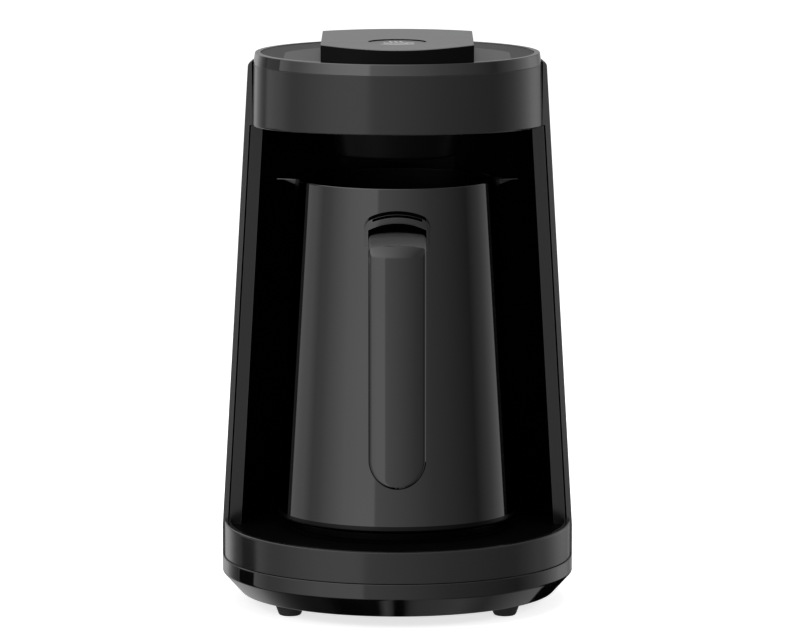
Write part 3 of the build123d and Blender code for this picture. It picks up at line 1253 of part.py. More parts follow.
def make_power_screws():
    """Four screws that hold the power board on the liner's posts."""
    seat_y = power_board_y() + POWER_THICKNESS
    grip = POWER_THICKNESS + SCREW_GRIP / 2
    upright = screw_down(0, 0, 0, grip)
    return [Pos(x, seat_y, z) * Rot(-90, 0, 0) * upright for x, z in power_screw_places()]


# ---- the whole object, node by node ----
def make_nodes():
    """Every node's name and its solid or group of solids."""
    return {
        "base_lower_cover": make_lower_cover(),
        "base_front_band": make_front_band(),
        "base_deck": make_deck(),
        "rubber_feet": make_feet(),
        "niche_liner": make_liner(),
        "rear_housing": make_rear_housing(),
        "cord_gland": make_cord_gland(),
        "head_drum": make_drum(),
        "head_underside": make_underside(),
        "head_trim_ring": make_trim_ring(),
        "head_top_plate": make_top_plate(),
        "control_block": make_control_block(),
        "start_button": make_start_button(),
        "button_spring": make_button_spring(),
        "control_board": make_control_board(),
        "key_switch": make_key_switch(),
        "button_lamp": make_lamp(),
        "buzzer": make_buzzer(),
        "loom_plug": make_loom_plug(),
        "sensor_hood": make_sensor_hood(),
        "sensor_lens": make_sensor_lens(),
        "sensor_board": make_sensor_board(),
        "foam_sensor": make_foam_sensor(),
        "hot_plate": make_hot_plate(),
        "plate_gasket": make_gasket(),
        "heating_element": make_element(),
        "terminal_beads": make_beads(),
        "heat_shield": make_heat_shield(),
        "plate_nuts": make_plate_nuts(),
        "thermal_fuse": make_thermal_fuse(),
        "pot_sensor_guide": make_sensor_guide(),
        "pot_sensor_plunger": make_sensor_plunger(),
        "pot_sensor_spring": make_sensor_spring(),
        "pot_body": make_pot_body(),
        "handle_bracket": make_handle_bracket(),
        "pot_handle": make_pot_handle(),
        "handle_screw": make_handle_screw(),
        "power_board": make_power_board(),
        "relay": on_board(RELAY_WIDTH, COMPONENT_DEPTH, RELAY_HEIGHT, *RELAY_PLACE),
        "transformer": on_board(TRANSFORMER_WIDTH, COMPONENT_DEPTH, TRANSFORMER_HEIGHT,
                                *TRANSFORMER_PLACE),
        "capacitor": make_capacitor(),
        "terminal_block": make_terminal_block(),
        "loom_connector": on_board(*CONNECTOR_SIZE, PLUG_X, POWER_HEIGHT - CONNECTOR_SIZE[2]),
        "heater_wires": make_heater_wires(),
        "wiring_loom": make_wiring_loom(),
        "base_screws": make_base_screws(),
        "housing_screws": make_housing_screws(),
        "liner_screws": make_liner_screws(),
        "head_screws": make_head_screws(),
        "hood_screws": make_hood_screws(),
        "block_screws": make_block_screws(),
        "control_board_screws": make_board_screws(),
        "power_board_screws": make_power_screws(),
    }


def write_nodes(nodes):
    """Write each node to its own STEP file, in the exported frame."""
    os.makedirs("parts", exist_ok=True)
    place = Pos(0, AXIS_Y, 0)
    for name, shape in nodes.items():
        solids = shape if isinstance(shape, list) else [shape]
        moved = [place * solid for piece in solids for solid in piece.solids()]
        export_step(Compound(children=moved), f"parts/{name}.step")


write_nodes(make_nodes())
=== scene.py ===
import math

import bmesh
import bpy
from mathutils import Matrix, Vector


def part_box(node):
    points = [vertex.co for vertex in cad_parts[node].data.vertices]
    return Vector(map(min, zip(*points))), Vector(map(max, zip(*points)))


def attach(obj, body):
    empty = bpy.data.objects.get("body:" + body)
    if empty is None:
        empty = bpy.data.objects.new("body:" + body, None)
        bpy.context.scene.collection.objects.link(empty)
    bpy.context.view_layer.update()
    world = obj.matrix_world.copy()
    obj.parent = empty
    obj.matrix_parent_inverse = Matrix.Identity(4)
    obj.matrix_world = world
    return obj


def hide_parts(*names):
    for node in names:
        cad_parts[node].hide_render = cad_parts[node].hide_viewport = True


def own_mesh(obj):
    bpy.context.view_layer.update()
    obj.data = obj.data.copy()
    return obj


bpy.context.scene.view_settings.view_transform = "Standard"
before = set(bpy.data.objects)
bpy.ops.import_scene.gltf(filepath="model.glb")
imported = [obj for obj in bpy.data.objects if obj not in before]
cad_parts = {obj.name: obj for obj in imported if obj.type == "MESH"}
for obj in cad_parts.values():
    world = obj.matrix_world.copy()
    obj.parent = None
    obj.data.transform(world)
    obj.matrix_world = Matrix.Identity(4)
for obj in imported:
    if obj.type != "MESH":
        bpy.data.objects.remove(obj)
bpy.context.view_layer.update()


# ------------------------
# Base tray. One black moulding closes the machine from below: its sole, the
# slanted edge that lifts it off the table and the low band under the seam.
# It is screwed up into the deck and the shell through six wells.
MM = 0.001
AXIS_Y = -12.0             # the pot's upright axis, millimetres from the origin
REAR = 24.0                # behind the axis every plan is this much deeper than wide
SOLE_REACH, SOLE_HEIGHT = 69.7, 5.0
EDGE_REACH, EDGE_HEIGHT = 78.0, 14.0
BAND_REACH, SEAM_HEIGHT = 77.8, 20.6
TRAY_FLOOR = 7.4
WELD = 1e-6                # points nearer than this, in metres, are one point


def soften(outline, steps=4):
    """Rounds each corner of a closed outline of (reach, height, cut[, rear]) points."""
    spots = [Vector((corner[0], corner[1], corner[3] if len(corner) > 3 else 0.0))
             for corner in outline]
    rounded = []
    for index, here in enumerate(spots):
        cut = outline[index][2]
        if not cut:
            rounded.append(here)
            continue
        back = (spots[index - 1] - here).normalized()
        ahead = (spots[(index + 1) % len(spots)] - here).normalized()
        rounded.append(here + back * cut * 1.3)
        for step in range(steps + 1):
            share = step / steps
            rounded.append(here + back * cut * (1 - share) ** 2 + ahead * cut * share ** 2)
        rounded.append(here + ahead * cut * 1.3)
    return rounded


def carried(points, angle, centre=(0.0, AXIS_Y)):
    """The outline at one angle round an upright axis, as points in metres."""
    side, depth = math.cos(angle), math.sin(angle)
    ring = []
    for reach, height, rear in points:
        across = reach * side + centre[0]
        along = (reach + (rear if depth > 0 else 0.0)) * depth + centre[1]
        ring.append(Vector((across, along, height)) * MM)
    return ring


def turned(points, first=0.0, last=360.0, steps=144, centre=(0.0, AXIS_Y)):
    """The outline at evenly spaced angles; a full turn leaves out the repeated last one."""
    count = steps if last - first >= 360.0 else steps + 1
    return [carried(points, math.radians(first + (last - first) * step / steps), centre)
            for step in range(count)]


def skinned(rings, closed=True, build=None):
    """A closed bmesh through rings of the same length, capped where the sweep is open."""
    build = build or bmesh.new()
    rows = [[build.verts.new(point) for point in ring] for ring in rings]
    length = len(rings[0])
    for index in range(len(rows) if closed else len(rows) - 1):
        one, two = rows[index], rows[(index + 1) % len(rows)]
        for spot in range(length):
            nearby = (spot + 1) % length
            build.faces.new((one[spot], one[nearby], two[nearby], two[spot]))
    if not closed:
        build.faces.new(rows[0])
        build.faces.new(rows[-1])
    return build


def cleaned(build, mesh, angle=35.0):
    """Moves a bmesh into a mesh, mended and smooth but for edges sharper than an angle."""
    bmesh.ops.remove_doubles(build, verts=build.verts, dist=WELD)
    bmesh.ops.dissolve_degenerate(build, edges=build.edges, dist=WELD)
    bmesh.ops.delete(build, geom=[edge for edge in build.edges if not edge.link_faces],
                     context="EDGES")
    bmesh.ops.recalc_face_normals(build, faces=build.faces)
    build.to_mesh(mesh)
    build.free()
    mesh.shade_smooth()
    mesh.set_sharp_from_angle(angle=math.radians(angle))


def placed(name, data):
    """A new object of the scene, at the origin."""
    made = bpy.data.objects.new(name, data)
    bpy.context.scene.collection.objects.link(made)
    return made


def piece(name, build, material, angle=35.0):
    """Turns a bmesh into a named object with clean outward faces."""
    mesh = bpy.data.meshes.new(name)
    mesh.materials.append(material)
    cleaned(build, mesh, angle)
    return placed(name, mesh)


def baked(made):
    """Applies the modifiers of an object, so that only its plain mesh is left."""
    bpy.context.view_layer.update()
    seen = made.evaluated_get(bpy.context.evaluated_depsgraph_get())
    mesh = bpy.data.meshes.new_from_object(seen)
    build = bmesh.new()
    build.from_mesh(mesh)
    cleaned(build, mesh)
    made.modifiers.clear()
    made.data = mesh
    mesh.name = made.name
    return made


def carve(made, cutter):
    """Cuts a closed shape out of a piece and throws the cutter away."""
    cut = made.modifiers.new("cut", "BOOLEAN")
    cut.operation = "DIFFERENCE"
    cut.solver = "EXACT"
    cut.object = cutter
    baked(made)
    bpy.data.objects.remove(cutter)


def rod(build, radius, foot, head, sides=40):
    """Adds a closed round rod between two points in millimetres."""
    foot, head = Vector(foot), Vector(head)
    run = head - foot
    turn = run.to_track_quat("Z", "Y").to_matrix().to_4x4()
    bmesh.ops.create_cone(build, cap_ends=True, segments=sides, radius1=radius * MM,
                          radius2=radius * MM, depth=run.length * MM,
                          matrix=Matrix.Translation((foot + run / 2) * MM) @ turn)


def drilled(made, name, radius, holes):
    """Drills round holes, each between two points in millimetres."""
    build = bmesh.new()
    for foot, head in holes:
        rod(build, radius, foot, head)
    carve(made, piece(name, build, made.data.materials[0]))


def seated(made, body, slot, *nodes):
    """The piece moves with its body and stands for nodes, which it hides; the slot is not used.
    """
    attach(made, body)
    if nodes:
        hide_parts(*nodes)
    return made


def group(name, kind, inputs, outputs):
    """An empty node group with named sockets: its tree, what comes in and what goes out."""
    tree = bpy.data.node_groups.new(name, kind)
    for side, sockets in (("INPUT", inputs), ("OUTPUT", outputs)):
        for label, socket in sockets.items():
            tree.interface.new_socket(name=label, in_out=side,
                                      socket_type="NodeSocket" + socket)
    inlet, outlet = tree.nodes.new("NodeGroupInput"), tree.nodes.new("NodeGroupOutput")
    return tree, inlet.outputs, outlet.inputs


def joined(tree, sockets, links):
    """Links outputs to sockets by their labels."""
    for label, output in links.items():
        tree.links.new(output, sockets[label])


def wired(tree, kind, inputs=None, **settings):
    """A node with its settings; an input takes a number or another node's output."""
    node = tree.nodes.new(kind)
    for label, value in settings.items():
        setattr(node, label, value)
    for socket, value in (inputs or {}).items():
        if isinstance(value, bpy.types.NodeSocket):
            tree.links.new(value, node.inputs[socket])
        else:
            node.inputs[socket].default_value = value
    return node.outputs


def reckoned(tree, operation, *terms):
    """One step of arithmetic in a tree, on outputs or plain numbers."""
    return wired(tree, "ShaderNodeMath", dict(enumerate(terms)), operation=operation)[0]


def eased(tree, value, first, last, low=0.0, high=1.0):
    """A value carried from one span to another and held at its ends."""
    return wired(tree, "ShaderNodeMapRange", {
        "Value": value, "From Min": first, "From Max": last, "To Min": low,
        "To Max": high})["Result"]


def cloudy(tree, spot, scale, detail=2.0):
    """Noise of a scale at a place."""
    return wired(tree, "ShaderNodeTexNoise", {
        "Vector": spot, "Scale": scale, "Detail": detail})["Fac"]


def mixed(tree, share, one, two):
    """Two colours mixed by a share."""
    return wired(tree, "ShaderNodeMix", {0: share, 6: one, 7: two}, data_type="RGBA")[2]


def bumped(tree, strength, depth, height):
    """The normal of a relief whose depth is in millimetres."""
    return wired(tree, "ShaderNodeBump", {
        "Strength": strength, "Distance": depth * MM, "Height": height})["Normal"]


def moulded_skin_effect():
    """Moulded surface: cloudy colour, fine grain and slightly uneven polish."""
    tree, inlet, outlet = group(
        "moulded_skin", "ShaderNodeTree",
        {"Colour": "Color", "Cloud Colour": "Color", "Cloud Scale": "Float",
         "Grain Scale": "Float", "Least Roughness": "Float", "Most Roughness": "Float"},
        {"Colour": "Color", "Roughness": "Float", "Height": "Float"})
    spot = wired(tree, "ShaderNodeTexCoord")["Object"]
    cloud = cloudy(tree, spot, inlet["Cloud Scale"], 4.0)
    grain = cloudy(tree, spot, inlet["Grain Scale"])
    uneven = reckoned(tree, "MULTIPLY_ADD", grain, 0.35,
                      reckoned(tree, "MULTIPLY", cloud, 0.65))
    joined(tree, outlet, {
        "Colour": mixed(tree, cloud, inlet["Colour"], inlet["Cloud Colour"]),
        "Roughness": eased(tree, uneven, 0.3, 0.7, inlet["Least Roughness"],
                           inlet["Most Roughness"]),
        "Height": grain})
    return tree


def worn_edge_effect():
    """A mask of the outer edges, broken up, where handling has polished or paled them."""
    tree, inlet, outlet = group("worn_edge", "ShaderNodeTree",
                                {"Width": "Float", "Amount": "Float"}, {"Mask": "Float"})
    rounded = wired(tree, "ShaderNodeBevel", {"Radius": inlet["Width"]}, samples=4)["Normal"]
    facing = wired(tree, "ShaderNodeNewGeometry")["Normal"]
    match = wired(tree, "ShaderNodeVectorMath", {0: rounded, 1: facing},
                  operation="DOT_PRODUCT")["Value"]
    patch = cloudy(tree, wired(tree, "ShaderNodeTexCoord")["Object"], 160.0)
    broken = reckoned(tree, "MULTIPLY", eased(tree, match, 0.995, 0.9), patch)
    joined(tree, outlet, {"Mask": reckoned(tree, "MULTIPLY", broken, inlet["Amount"])})
    return tree


MOULDED_SKIN = moulded_skin_effect()
WORN_EDGE = worn_edge_effect()


def painted(name, values):
    """A new material, its node tree and its Principled shader with some values set."""
    material = bpy.data.materials.new(name)
    material.use_nodes = True
    shader = material.node_tree.nodes["Principled BSDF"].inputs
    for label, value in values.items():
        shader[label].default_value = value
    return material, material.node_tree, shader


def skin_of(tree, colour, cloud, cloud_scale, grain_scale, polish):
    """The moulded skin in a material's tree; polish is its least and most roughness."""
    return wired(tree, "ShaderNodeGroup", {
        "Colour": (*colour, 1.0), "Cloud Colour": (*cloud, 1.0), "Cloud Scale": cloud_scale,
        "Grain Scale": grain_scale, "Least Roughness": polish[0],
        "Most Roughness": polish[1]}, node_tree=MOULDED_SKIN)


def moulded(name, colour, cloud, polish, metallic=0.0, cloud_scale=18.0, grain_scale=2600.0,
            grain_depth=0.004, wear=0.35, wear_colour=(0.12, 0.12, 0.125), specular=0.5,
            clear=0.0):
    """A moulded, painted or plated finish with worn edges."""
    material, tree, shader = painted(name, {
        "Metallic": metallic, "Specular IOR Level": specular, "Transmission Weight": clear})
    skin = skin_of(tree, colour, cloud, cloud_scale, grain_scale, polish)
    worn = wired(tree, "ShaderNodeGroup", {"Width": 0.0006, "Amount": wear},
                 node_tree=WORN_EDGE)["Mask"]
    joined(tree, shader, {
        "Base Color": mixed(tree, worn, skin["Colour"], (*wear_colour, 1.0)),
        "Roughness": skin["Roughness"],
        "Normal": bumped(tree, 0.35, grain_depth, skin["Height"])})
    return material


dark_gloss = moulded("dark_gloss", (0.002, 0.002, 0.0021), (0.003, 0.003, 0.0031),
                     (0.04, 0.08), specular=0.75)

# Both outlines have the same number of points, so the rear one repeats some.
front_tray = soften([
    (0.0, SOLE_HEIGHT, 0), (SOLE_REACH, SOLE_HEIGHT, 0.7), (EDGE_REACH, EDGE_HEIGHT, 0.5),
    (BAND_REACH, SEAM_HEIGHT, 0.4), (74.2, SEAM_HEIGHT, 0), (74.2, 29.4, 0),
    (72.2, 29.4, 0), (72.2, 18.2, 0), (73.6, 18.2, 0), (73.6, EDGE_HEIGHT, 0),
    (68.5, TRAY_FLOOR, 0), (0.0, TRAY_FLOOR, 0)])
rear_tray = soften([
    (0.0, SOLE_HEIGHT, 0), (SOLE_REACH, SOLE_HEIGHT, 0.7, REAR),
    (76.34, 12.2, 0.3, REAR), (75.6, 12.2, 0.1, REAR), (75.6, 16.0, 0, REAR),
    (75.6, 16.0, 0, REAR), (73.5, 16.0, 0, REAR), (73.5, 16.0, 0, REAR),
    (73.5, 12.4, 0, REAR), (73.5, 12.4, 0, REAR), (68.5, TRAY_FLOOR, 0, REAR),
    (0.0, TRAY_FLOOR, 0)])
tray_rings = turned(front_tray, -180.0, 0.0, 96) + turned(rear_tray, 0.0, 180.0, 96)
base_tray = piece("base_tray", skinned(tray_rings), dark_gloss)


def sole_spots(inset, angles):
    """Points inside the sole's edge, in millimetres; behind the axis the plan is an oval."""
    reach = SOLE_REACH - inset
    spots = []
    for angle in angles:
        across = reach * math.cos(math.radians(angle))
        along = reach * math.sin(math.radians(angle))
        if along > 0:
            along *= (reach + REAR) / reach
        spots.append((across, along + AXIS_Y))
    return spots


tray_screw_spots = (sole_spots(8.0, (-115.0, -65.0, 30.0, 150.0))
                    + sole_spots(10.0, (66.0, 114.0)))
drilled(base_tray, "tray_wells", 3.4,
        [((*spot, 2.0), (*spot, 9.0)) for spot in tray_screw_spots])


def dressed(tree, copies, material, outlet):
    """Ends a tree of copies: they become plain mesh with a material."""
    real = wired(tree, "GeometryNodeRealizeInstances", {"Geometry": copies})["Geometry"]
    made = wired(tree, "GeometryNodeSetMaterial", {"Geometry": real, "Material": material})
    tree.links.new(made["Geometry"], outlet)
    return tree


def slot_row_tree():
    """A row of round-ended slot cutters: count, pitch and size are the group's inputs."""
    tree, inlet, outlet = group(
        "slot_row", "GeometryNodeTree",
        {"Count": "Int", "Pitch": "Vector", "Start": "Vector", "Length": "Float",
         "Width": "Float", "Depth": "Float", "Turn": "Vector", "Material": "Material"},
        {"Slots": "Geometry"})
    row = wired(tree, "GeometryNodeMeshLine", {
        "Count": inlet["Count"], "Start Location": inlet["Start"],
        "Offset": inlet["Pitch"]}, mode="OFFSET")["Mesh"]
    side = wired(tree, "GeometryNodeCurvePrimitiveQuadrilateral", {
        "Width": inlet["Width"], "Height": inlet["Length"]})["Curve"]
    ends = wired(tree, "GeometryNodeFilletCurve", {
        "Curve": side, "Radius": reckoned(tree, "MULTIPLY", inlet["Width"], 0.3),
        "Count": 6}, mode="POLY")["Curve"]
    filled = wired(tree, "GeometryNodeFillCurve", {"Curve": ends}, mode="NGONS")["Mesh"]
    thick = wired(tree, "GeometryNodeExtrudeMesh", {
        "Mesh": filled, "Offset Scale": inlet["Depth"], "Individual": False})["Mesh"]
    flipped = wired(tree, "GeometryNodeFlipFaces", {"Mesh": filled})["Mesh"]
    whole = tree.nodes.new("GeometryNodeJoinGeometry")
    for part in (thick, flipped):
        tree.links.new(part, whole.inputs["Geometry"])
    sealed = wired(tree, "GeometryNodeMergeByDistance", {
        "Geometry": whole.outputs["Geometry"], "Distance": WELD})["Geometry"]
    copies = wired(tree, "GeometryNodeInstanceOnPoints", {
        "Points": row, "Instance": sealed, "Rotation": inlet["Turn"]})["Instances"]
    return dressed(tree, copies, inlet["Material"], outlet["Slots"])


def grown(name, tree, values, base=None):
    """Runs a geometry node tree with named values and leaves its plain mesh."""
    made = placed(name, base or bpy.data.meshes.new(name))
    grow = made.modifiers.new("grow", "NODES")
    grow.node_group = tree
    for item in tree.interface.items_tree:
        if item.in_out == "INPUT" and item.name in values:
            grow[item.identifier] = values[item.name]
    return baked(made)


SLOT_ROW = slot_row_tree()
carve(base_tray, grown("tray_slots", SLOT_ROW, {
    "Count": 5, "Pitch": (0.0, 0.006, 0.0), "Start": (0.0, -0.024, 0.003),
    "Length": 0.034, "Width": 0.003, "Depth": 0.006, "Turn": (0.0, 0.0, math.pi / 2),
    "Material": dark_gloss}))
seated(base_tray, "machine", "dark_gloss", "base_lower_cover")


# ------------------------
# Feet. Four black rubber buttons whose stems snap into the sole; their ends are
# rounded, with a shallow hollow in the middle that grips the table.
FOOT_TOP, FOOT_TIP = 6.6, 4.75

foot_rubber = moulded("foot_rubber", (0.014, 0.014, 0.014), (0.022, 0.022, 0.021),
                      (0.55, 0.7), grain_scale=3400.0, grain_depth=0.02, wear=0.2)


def instances_tree():
    """Copies of one shape on the points of a mesh, each turned at random by a fixed seed."""
    tree, inlet, outlet = group(
        "set_on_points", "GeometryNodeTree",
        {"Points": "Geometry", "Shape": "Object", "Most Turn": "Float", "Seed": "Int",
         "Material": "Material"}, {"Set": "Geometry"})
    shape = wired(tree, "GeometryNodeObjectInfo", {"Object": inlet["Shape"]})["Geometry"]
    turn = wired(tree, "FunctionNodeRandomValue", {
        3: inlet["Most Turn"], "Seed": inlet["Seed"]}, data_type="FLOAT")[1]
    upright = wired(tree, "ShaderNodeCombineXYZ", {"Z": turn})["Vector"]
    copies = wired(tree, "GeometryNodeInstanceOnPoints", {
        "Points": inlet["Points"], "Instance": shape, "Rotation": upright})["Instances"]
    return dressed(tree, copies, inlet["Material"], outlet["Set"])


SET_ON_POINTS = instances_tree()


def set_on_points(name, shape, spots, most_turn, seed, material):
    """Copies a shape drawn about the origin to points in millimetres."""
    cloud = bpy.data.meshes.new(name)
    cloud.from_pydata([Vector(spot) * MM for spot in spots], [], [])
    made = grown(name, SET_ON_POINTS, {"Shape": shape, "Most Turn": most_turn, "Seed": seed,
                                       "Material": material}, base=cloud)
    bpy.data.objects.remove(shape)
    return made


def revolved(name, outline, steps, material, centre=(0.0, AXIS_Y)):
    """A piece turned from an outline, with its corners softened, round an upright axis."""
    rings = turned(soften(outline), steps=steps, centre=centre)
    return piece(name, skinned(rings), material)


one_foot = revolved("one_foot", [
    (0.0, 0.35, 0), (3.1, 0.35, 0.1), (3.3, 0.0, 0.08), (FOOT_TIP, 0.0, 1.0),
    (FOOT_TOP, 4.96, 0.3), (2.5, 4.96, 0), (2.5, 7.4, 0), (3.2, 7.4, 0.2), (3.0, 9.0, 0.4),
    (0.0, 9.0, 0)], 48, foot_rubber, (0.0, 0.0))
foot_spots = [(*spot, 0.0) for spot in sole_spots(9.0, (-141.2, -38.8, 46.2, 133.8))]
seated(set_on_points("feet", one_foot, foot_spots, 0.0, 1, foot_rubber),
       "machine", "foot_rubber", "rubber_feet")


# ------------------------
# Screws under the tray. Zinc-plated pan heads with a cross recess, sunk in
# the six wells and each left at its own angle by the driver.
screw_steel = moulded("screw_steel", (0.42, 0.42, 0.41), (0.5, 0.49, 0.47), (0.25, 0.4),
                      metallic=1.0, cloud_scale=300.0, wear=0.0)
HEAD_TALL = 2.2
one_screw = revolved("one_screw", [
    (0.0, -HEAD_TALL, 0), (2.1, -HEAD_TALL, 0.8), (2.9, -0.7, 0.4), (2.9, 0.0, 0.1),
    (1.25, 0.0, 0), (1.25, 7.4, 0), (0.5, 9.0, 0), (0.0, 9.0, 0)], 32, screw_steel, (0.0, 0.0))


def box(name, middle, size, material):
    """A block of a size about a place, both in millimetres."""
    build = bmesh.new()
    bmesh.ops.create_cube(build, size=MM, matrix=Matrix.Translation(
        Vector(middle) * MM) @ Matrix.Diagonal((*size, 1.0)))
    return piece(name, build, material)


for wide, deep in ((4.0, 0.9), (0.9, 4.0)):
    carve(one_screw, box("recess", (0.0, 0.0, -HEAD_TALL), (wide, deep, HEAD_TALL),
                         screw_steel))
seated(set_on_points("tray_screws", one_screw, [(*spot, 9.0) for spot in tray_screw_spots],
                     math.pi, 7, screw_steel),
       "machine", "screw_steel", "base_screws", "housing_screws")


# ------------------------
# Front band. A half ring of the same black plastic that stands on the seam,
# closes the base in front and rises a little above the deck; it dips to the front.
band_satin = moulded("band_satin", (0.009, 0.009, 0.0094), (0.013, 0.013, 0.0135),
                     (0.14, 0.2), specular=0.55)
band_outline = soften([
    (77.0, 20.72, 0.2), (77.0, 36.2, 0.8), (74.4, 36.2, 0.45), (74.4, 31.4, 0),
    (72.4, 31.4, 0), (72.4, 29.4, 0), (74.4, 29.4, 0), (74.4, 20.72, 0)])


def leaned(build, chosen, slope):
    """Raises the points at the chosen heights by a slope towards the front."""
    for vertex in build.verts:
        ahead = AXIS_Y * MM - vertex.co.y
        if chosen(vertex.co.z / MM) and ahead > 0:
            vertex.co.z += slope * ahead
    return build


BAND_DIP = 0.021
front_band = piece("front_band", leaned(
    skinned(turned(band_outline, -180.0, 0.0, 120), closed=False),
    lambda height: height > 33.0, -BAND_DIP), band_satin)
seated(front_band, "machine", "dark_gloss", "base_front_band")


# ------------------------
# Deck. The floor of the niche: a satin black plate that drops into the band and
# the shell, with a round hole under the hot plate.
black_satin = moulded("black_satin", (0.0016, 0.0016, 0.0016), (0.0024, 0.0024, 0.0024),
                      (0.3, 0.4), grain_scale=1800.0, grain_depth=0.012, wear=0.04,
                      specular=0.07)
DECK_FOOT, DECK_TOP, DECK_HOLE = 31.4, 33.8, 42.0
front_deck, rear_deck = [soften([
    (DECK_HOLE, DECK_FOOT, 0), (DECK_HOLE, DECK_TOP, 0.3), (reach, DECK_TOP, 0.3, rear),
    (reach, DECK_FOOT, 0, rear)]) for reach, rear in ((74.2, 0.0), (75.6, REAR))]
deck_black = moulded("deck_black", (0.0014, 0.0014, 0.0014), (0.0022, 0.0022, 0.0022),
                     (0.3, 0.45), grain_scale=1800.0, grain_depth=0.012, wear=0.02,
                     specular=0.01)
deck = piece("deck", skinned(turned(front_deck, -180.0, 0.0, 96)
                             + turned(rear_deck, 0.0, 180.0, 96)), deck_black)
seated(deck, "machine", "black_satin", "base_deck")


# ------------------------
# Hot plate. A pressed cap of stainless steel on a thin seal, turned with fine rings,
# its colour darkened to near black as painted shade under the pot; three welded studs
# clamp it, and its middle hole takes the pot sensor.
def turned_steel(name, colour, polish, ring_scale=900.0, depth=0.003):
    """Steel with the fine rings that a lathe leaves about the pot's axis."""
    material, tree, shader = painted(name, {"Metallic": 1.0})
    spot = wired(tree, "ShaderNodeTexCoord")["Object"]
    centred = wired(tree, "ShaderNodeMapping", {
        "Vector": spot, "Location": (0.0, -AXIS_Y * MM, 0.0)})["Vector"]
    rings = wired(tree, "ShaderNodeTexWave", {
        "Vector": centred, "Scale": ring_scale, "Distortion": 1.5},
        wave_type="RINGS", rings_direction="Z")["Fac"]
    skin = skin_of(tree, colour, [part * 1.25 for part in colour], 60.0, 2400.0, polish)
    joined(tree, shader, {"Base Color": skin["Colour"], "Roughness": skin["Roughness"],
                          "Normal": bumped(tree, 0.3, depth, rings)})
    return material


# Near-black steel: painted shade for the plate's rim under the pot; the heating element inside
# shares this finish.
plate_steel = turned_steel("plate_steel", (0.007, 0.007, 0.0072), (0.38, 0.5))
spring_steel = moulded("spring_steel", (0.36, 0.36, 0.37), (0.45, 0.45, 0.45), (0.2, 0.35),
                       metallic=1.0, cloud_scale=200.0, wear=0.0)
seal_rubber = moulded("seal_rubber", (0.001, 0.001, 0.001), (0.002, 0.002, 0.002),
                      (0.6, 0.75), grain_depth=0.02, wear=0.0, specular=0.02)
hot_plate_outline = soften([
    (7.95, 38.7, 0.2), (46.0, 38.7, 0.7), (47.0, 37.7, 0.5), (47.0, 34.8, 0.1),
    (45.5, 34.8, 0), (45.5, 37.2, 0), (7.95, 37.2, 0)])
hot_plate_shape = skinned(turned(hot_plate_outline, steps=160))
STUD_CIRCLE = 36.0
for angle in (30.0, 150.0, 270.0):
    stud_x = STUD_CIRCLE * math.cos(math.radians(angle))
    stud_y = STUD_CIRCLE * math.sin(math.radians(angle)) + AXIS_Y
    rod(hot_plate_shape, 2.0, (stud_x, stud_y, 21.0), (stud_x, stud_y, 37.3), 24)
seated(piece("hot_plate_cap", hot_plate_shape, plate_steel),
       "machine", "plate_steel", "hot_plate")

seated(revolved("sensor_cap", [
    (0.0, 38.62, 0), (5.6, 38.68, 0.3), (6.3, 38.3, 0.25), (6.3, 36.9, 0.1), (2.4, 36.9, 0),
    (2.4, 26.2, 0), (4.0, 26.2, 0.1), (4.0, 24.8, 0.2), (0.0, 24.8, 0)], 64, spring_steel),
    "sensor", "spring_steel", "pot_sensor_plunger")
seated(revolved("sensor_guide", [
    (2.46, 27.7, 0), (7.85, 27.7, 0.3), (7.85, 35.8, 0), (11.05, 35.8, 0.2),
    (11.05, 37.2, 0), (7.85, 37.2, 0), (7.85, 38.5, 0.2), (6.65, 38.5, 0.15),
    (6.65, 29.3, 0), (2.46, 29.3, 0)], 64, black_satin),
    "machine", "black_satin", "pot_sensor_guide")


# ------------------------
# Niche liner. A conical half wall of satin black plastic behind the pot, with a
# flat strip down each front edge that meets the shell. It is screwed to the deck.
NICHE_FOOT, NICHE_HEAD, HEAD_FOOT, LINER_WALL = 69.8, 59.6, 212.8, 2.0
SHELL_FOOT, SHELL_TAPER, SHELL_TOP = 78.0, 12.0, 241.0


def niche_reach(height):
    """Radius of the niche's inside at a height."""
    share = (height - DECK_TOP) / (HEAD_FOOT - DECK_TOP)
    return NICHE_FOOT + share * (NICHE_HEAD - NICHE_FOOT)


def shell_reach(height):
    """Half-width of the shell's outside at a height."""
    return SHELL_FOOT - max(0.0, height - DECK_TOP) / (SHELL_TOP - DECK_TOP) * SHELL_TAPER


def at(across, along, height):
    """A point in metres, from millimetres counted from the pot's axis."""
    return Vector((across, along + AXIS_Y, height)) * MM


def faced(made, material, chosen):
    """Gives a second material to the faces that are chosen."""
    made.data.materials.append(material)
    for face in made.data.polygons:
        if chosen(face):
            face.material_index = len(made.data.materials) - 1
    return made


liner_outline = soften([
    (NICHE_FOOT, 33.82, 0), (NICHE_FOOT + LINER_WALL, 33.82, 0),
    (NICHE_HEAD + LINER_WALL, 212.7, 0), (NICHE_HEAD, 212.7, 0)])
liner_shape = skinned(turned(liner_outline, 0.8, 179.2, 128), closed=False)
for side in (-1.0, 1.0):
    strip = []
    for height in (33.9, 212.6):
        outer, inner = shell_reach(height) - 2.9, niche_reach(height) - 0.06
        strip.append([at(side * across, along, height) for across, along in (
            (inner, 0.0), (outer, 0.0), (outer, LINER_WALL), (inner, LINER_WALL))])
    skinned(strip, closed=False, build=liner_shape)
seated(faced(piece("niche_wall", liner_shape, black_satin), band_satin,
             lambda face: face.normal.y < -0.9), "machine", "black_satin", "niche_liner")


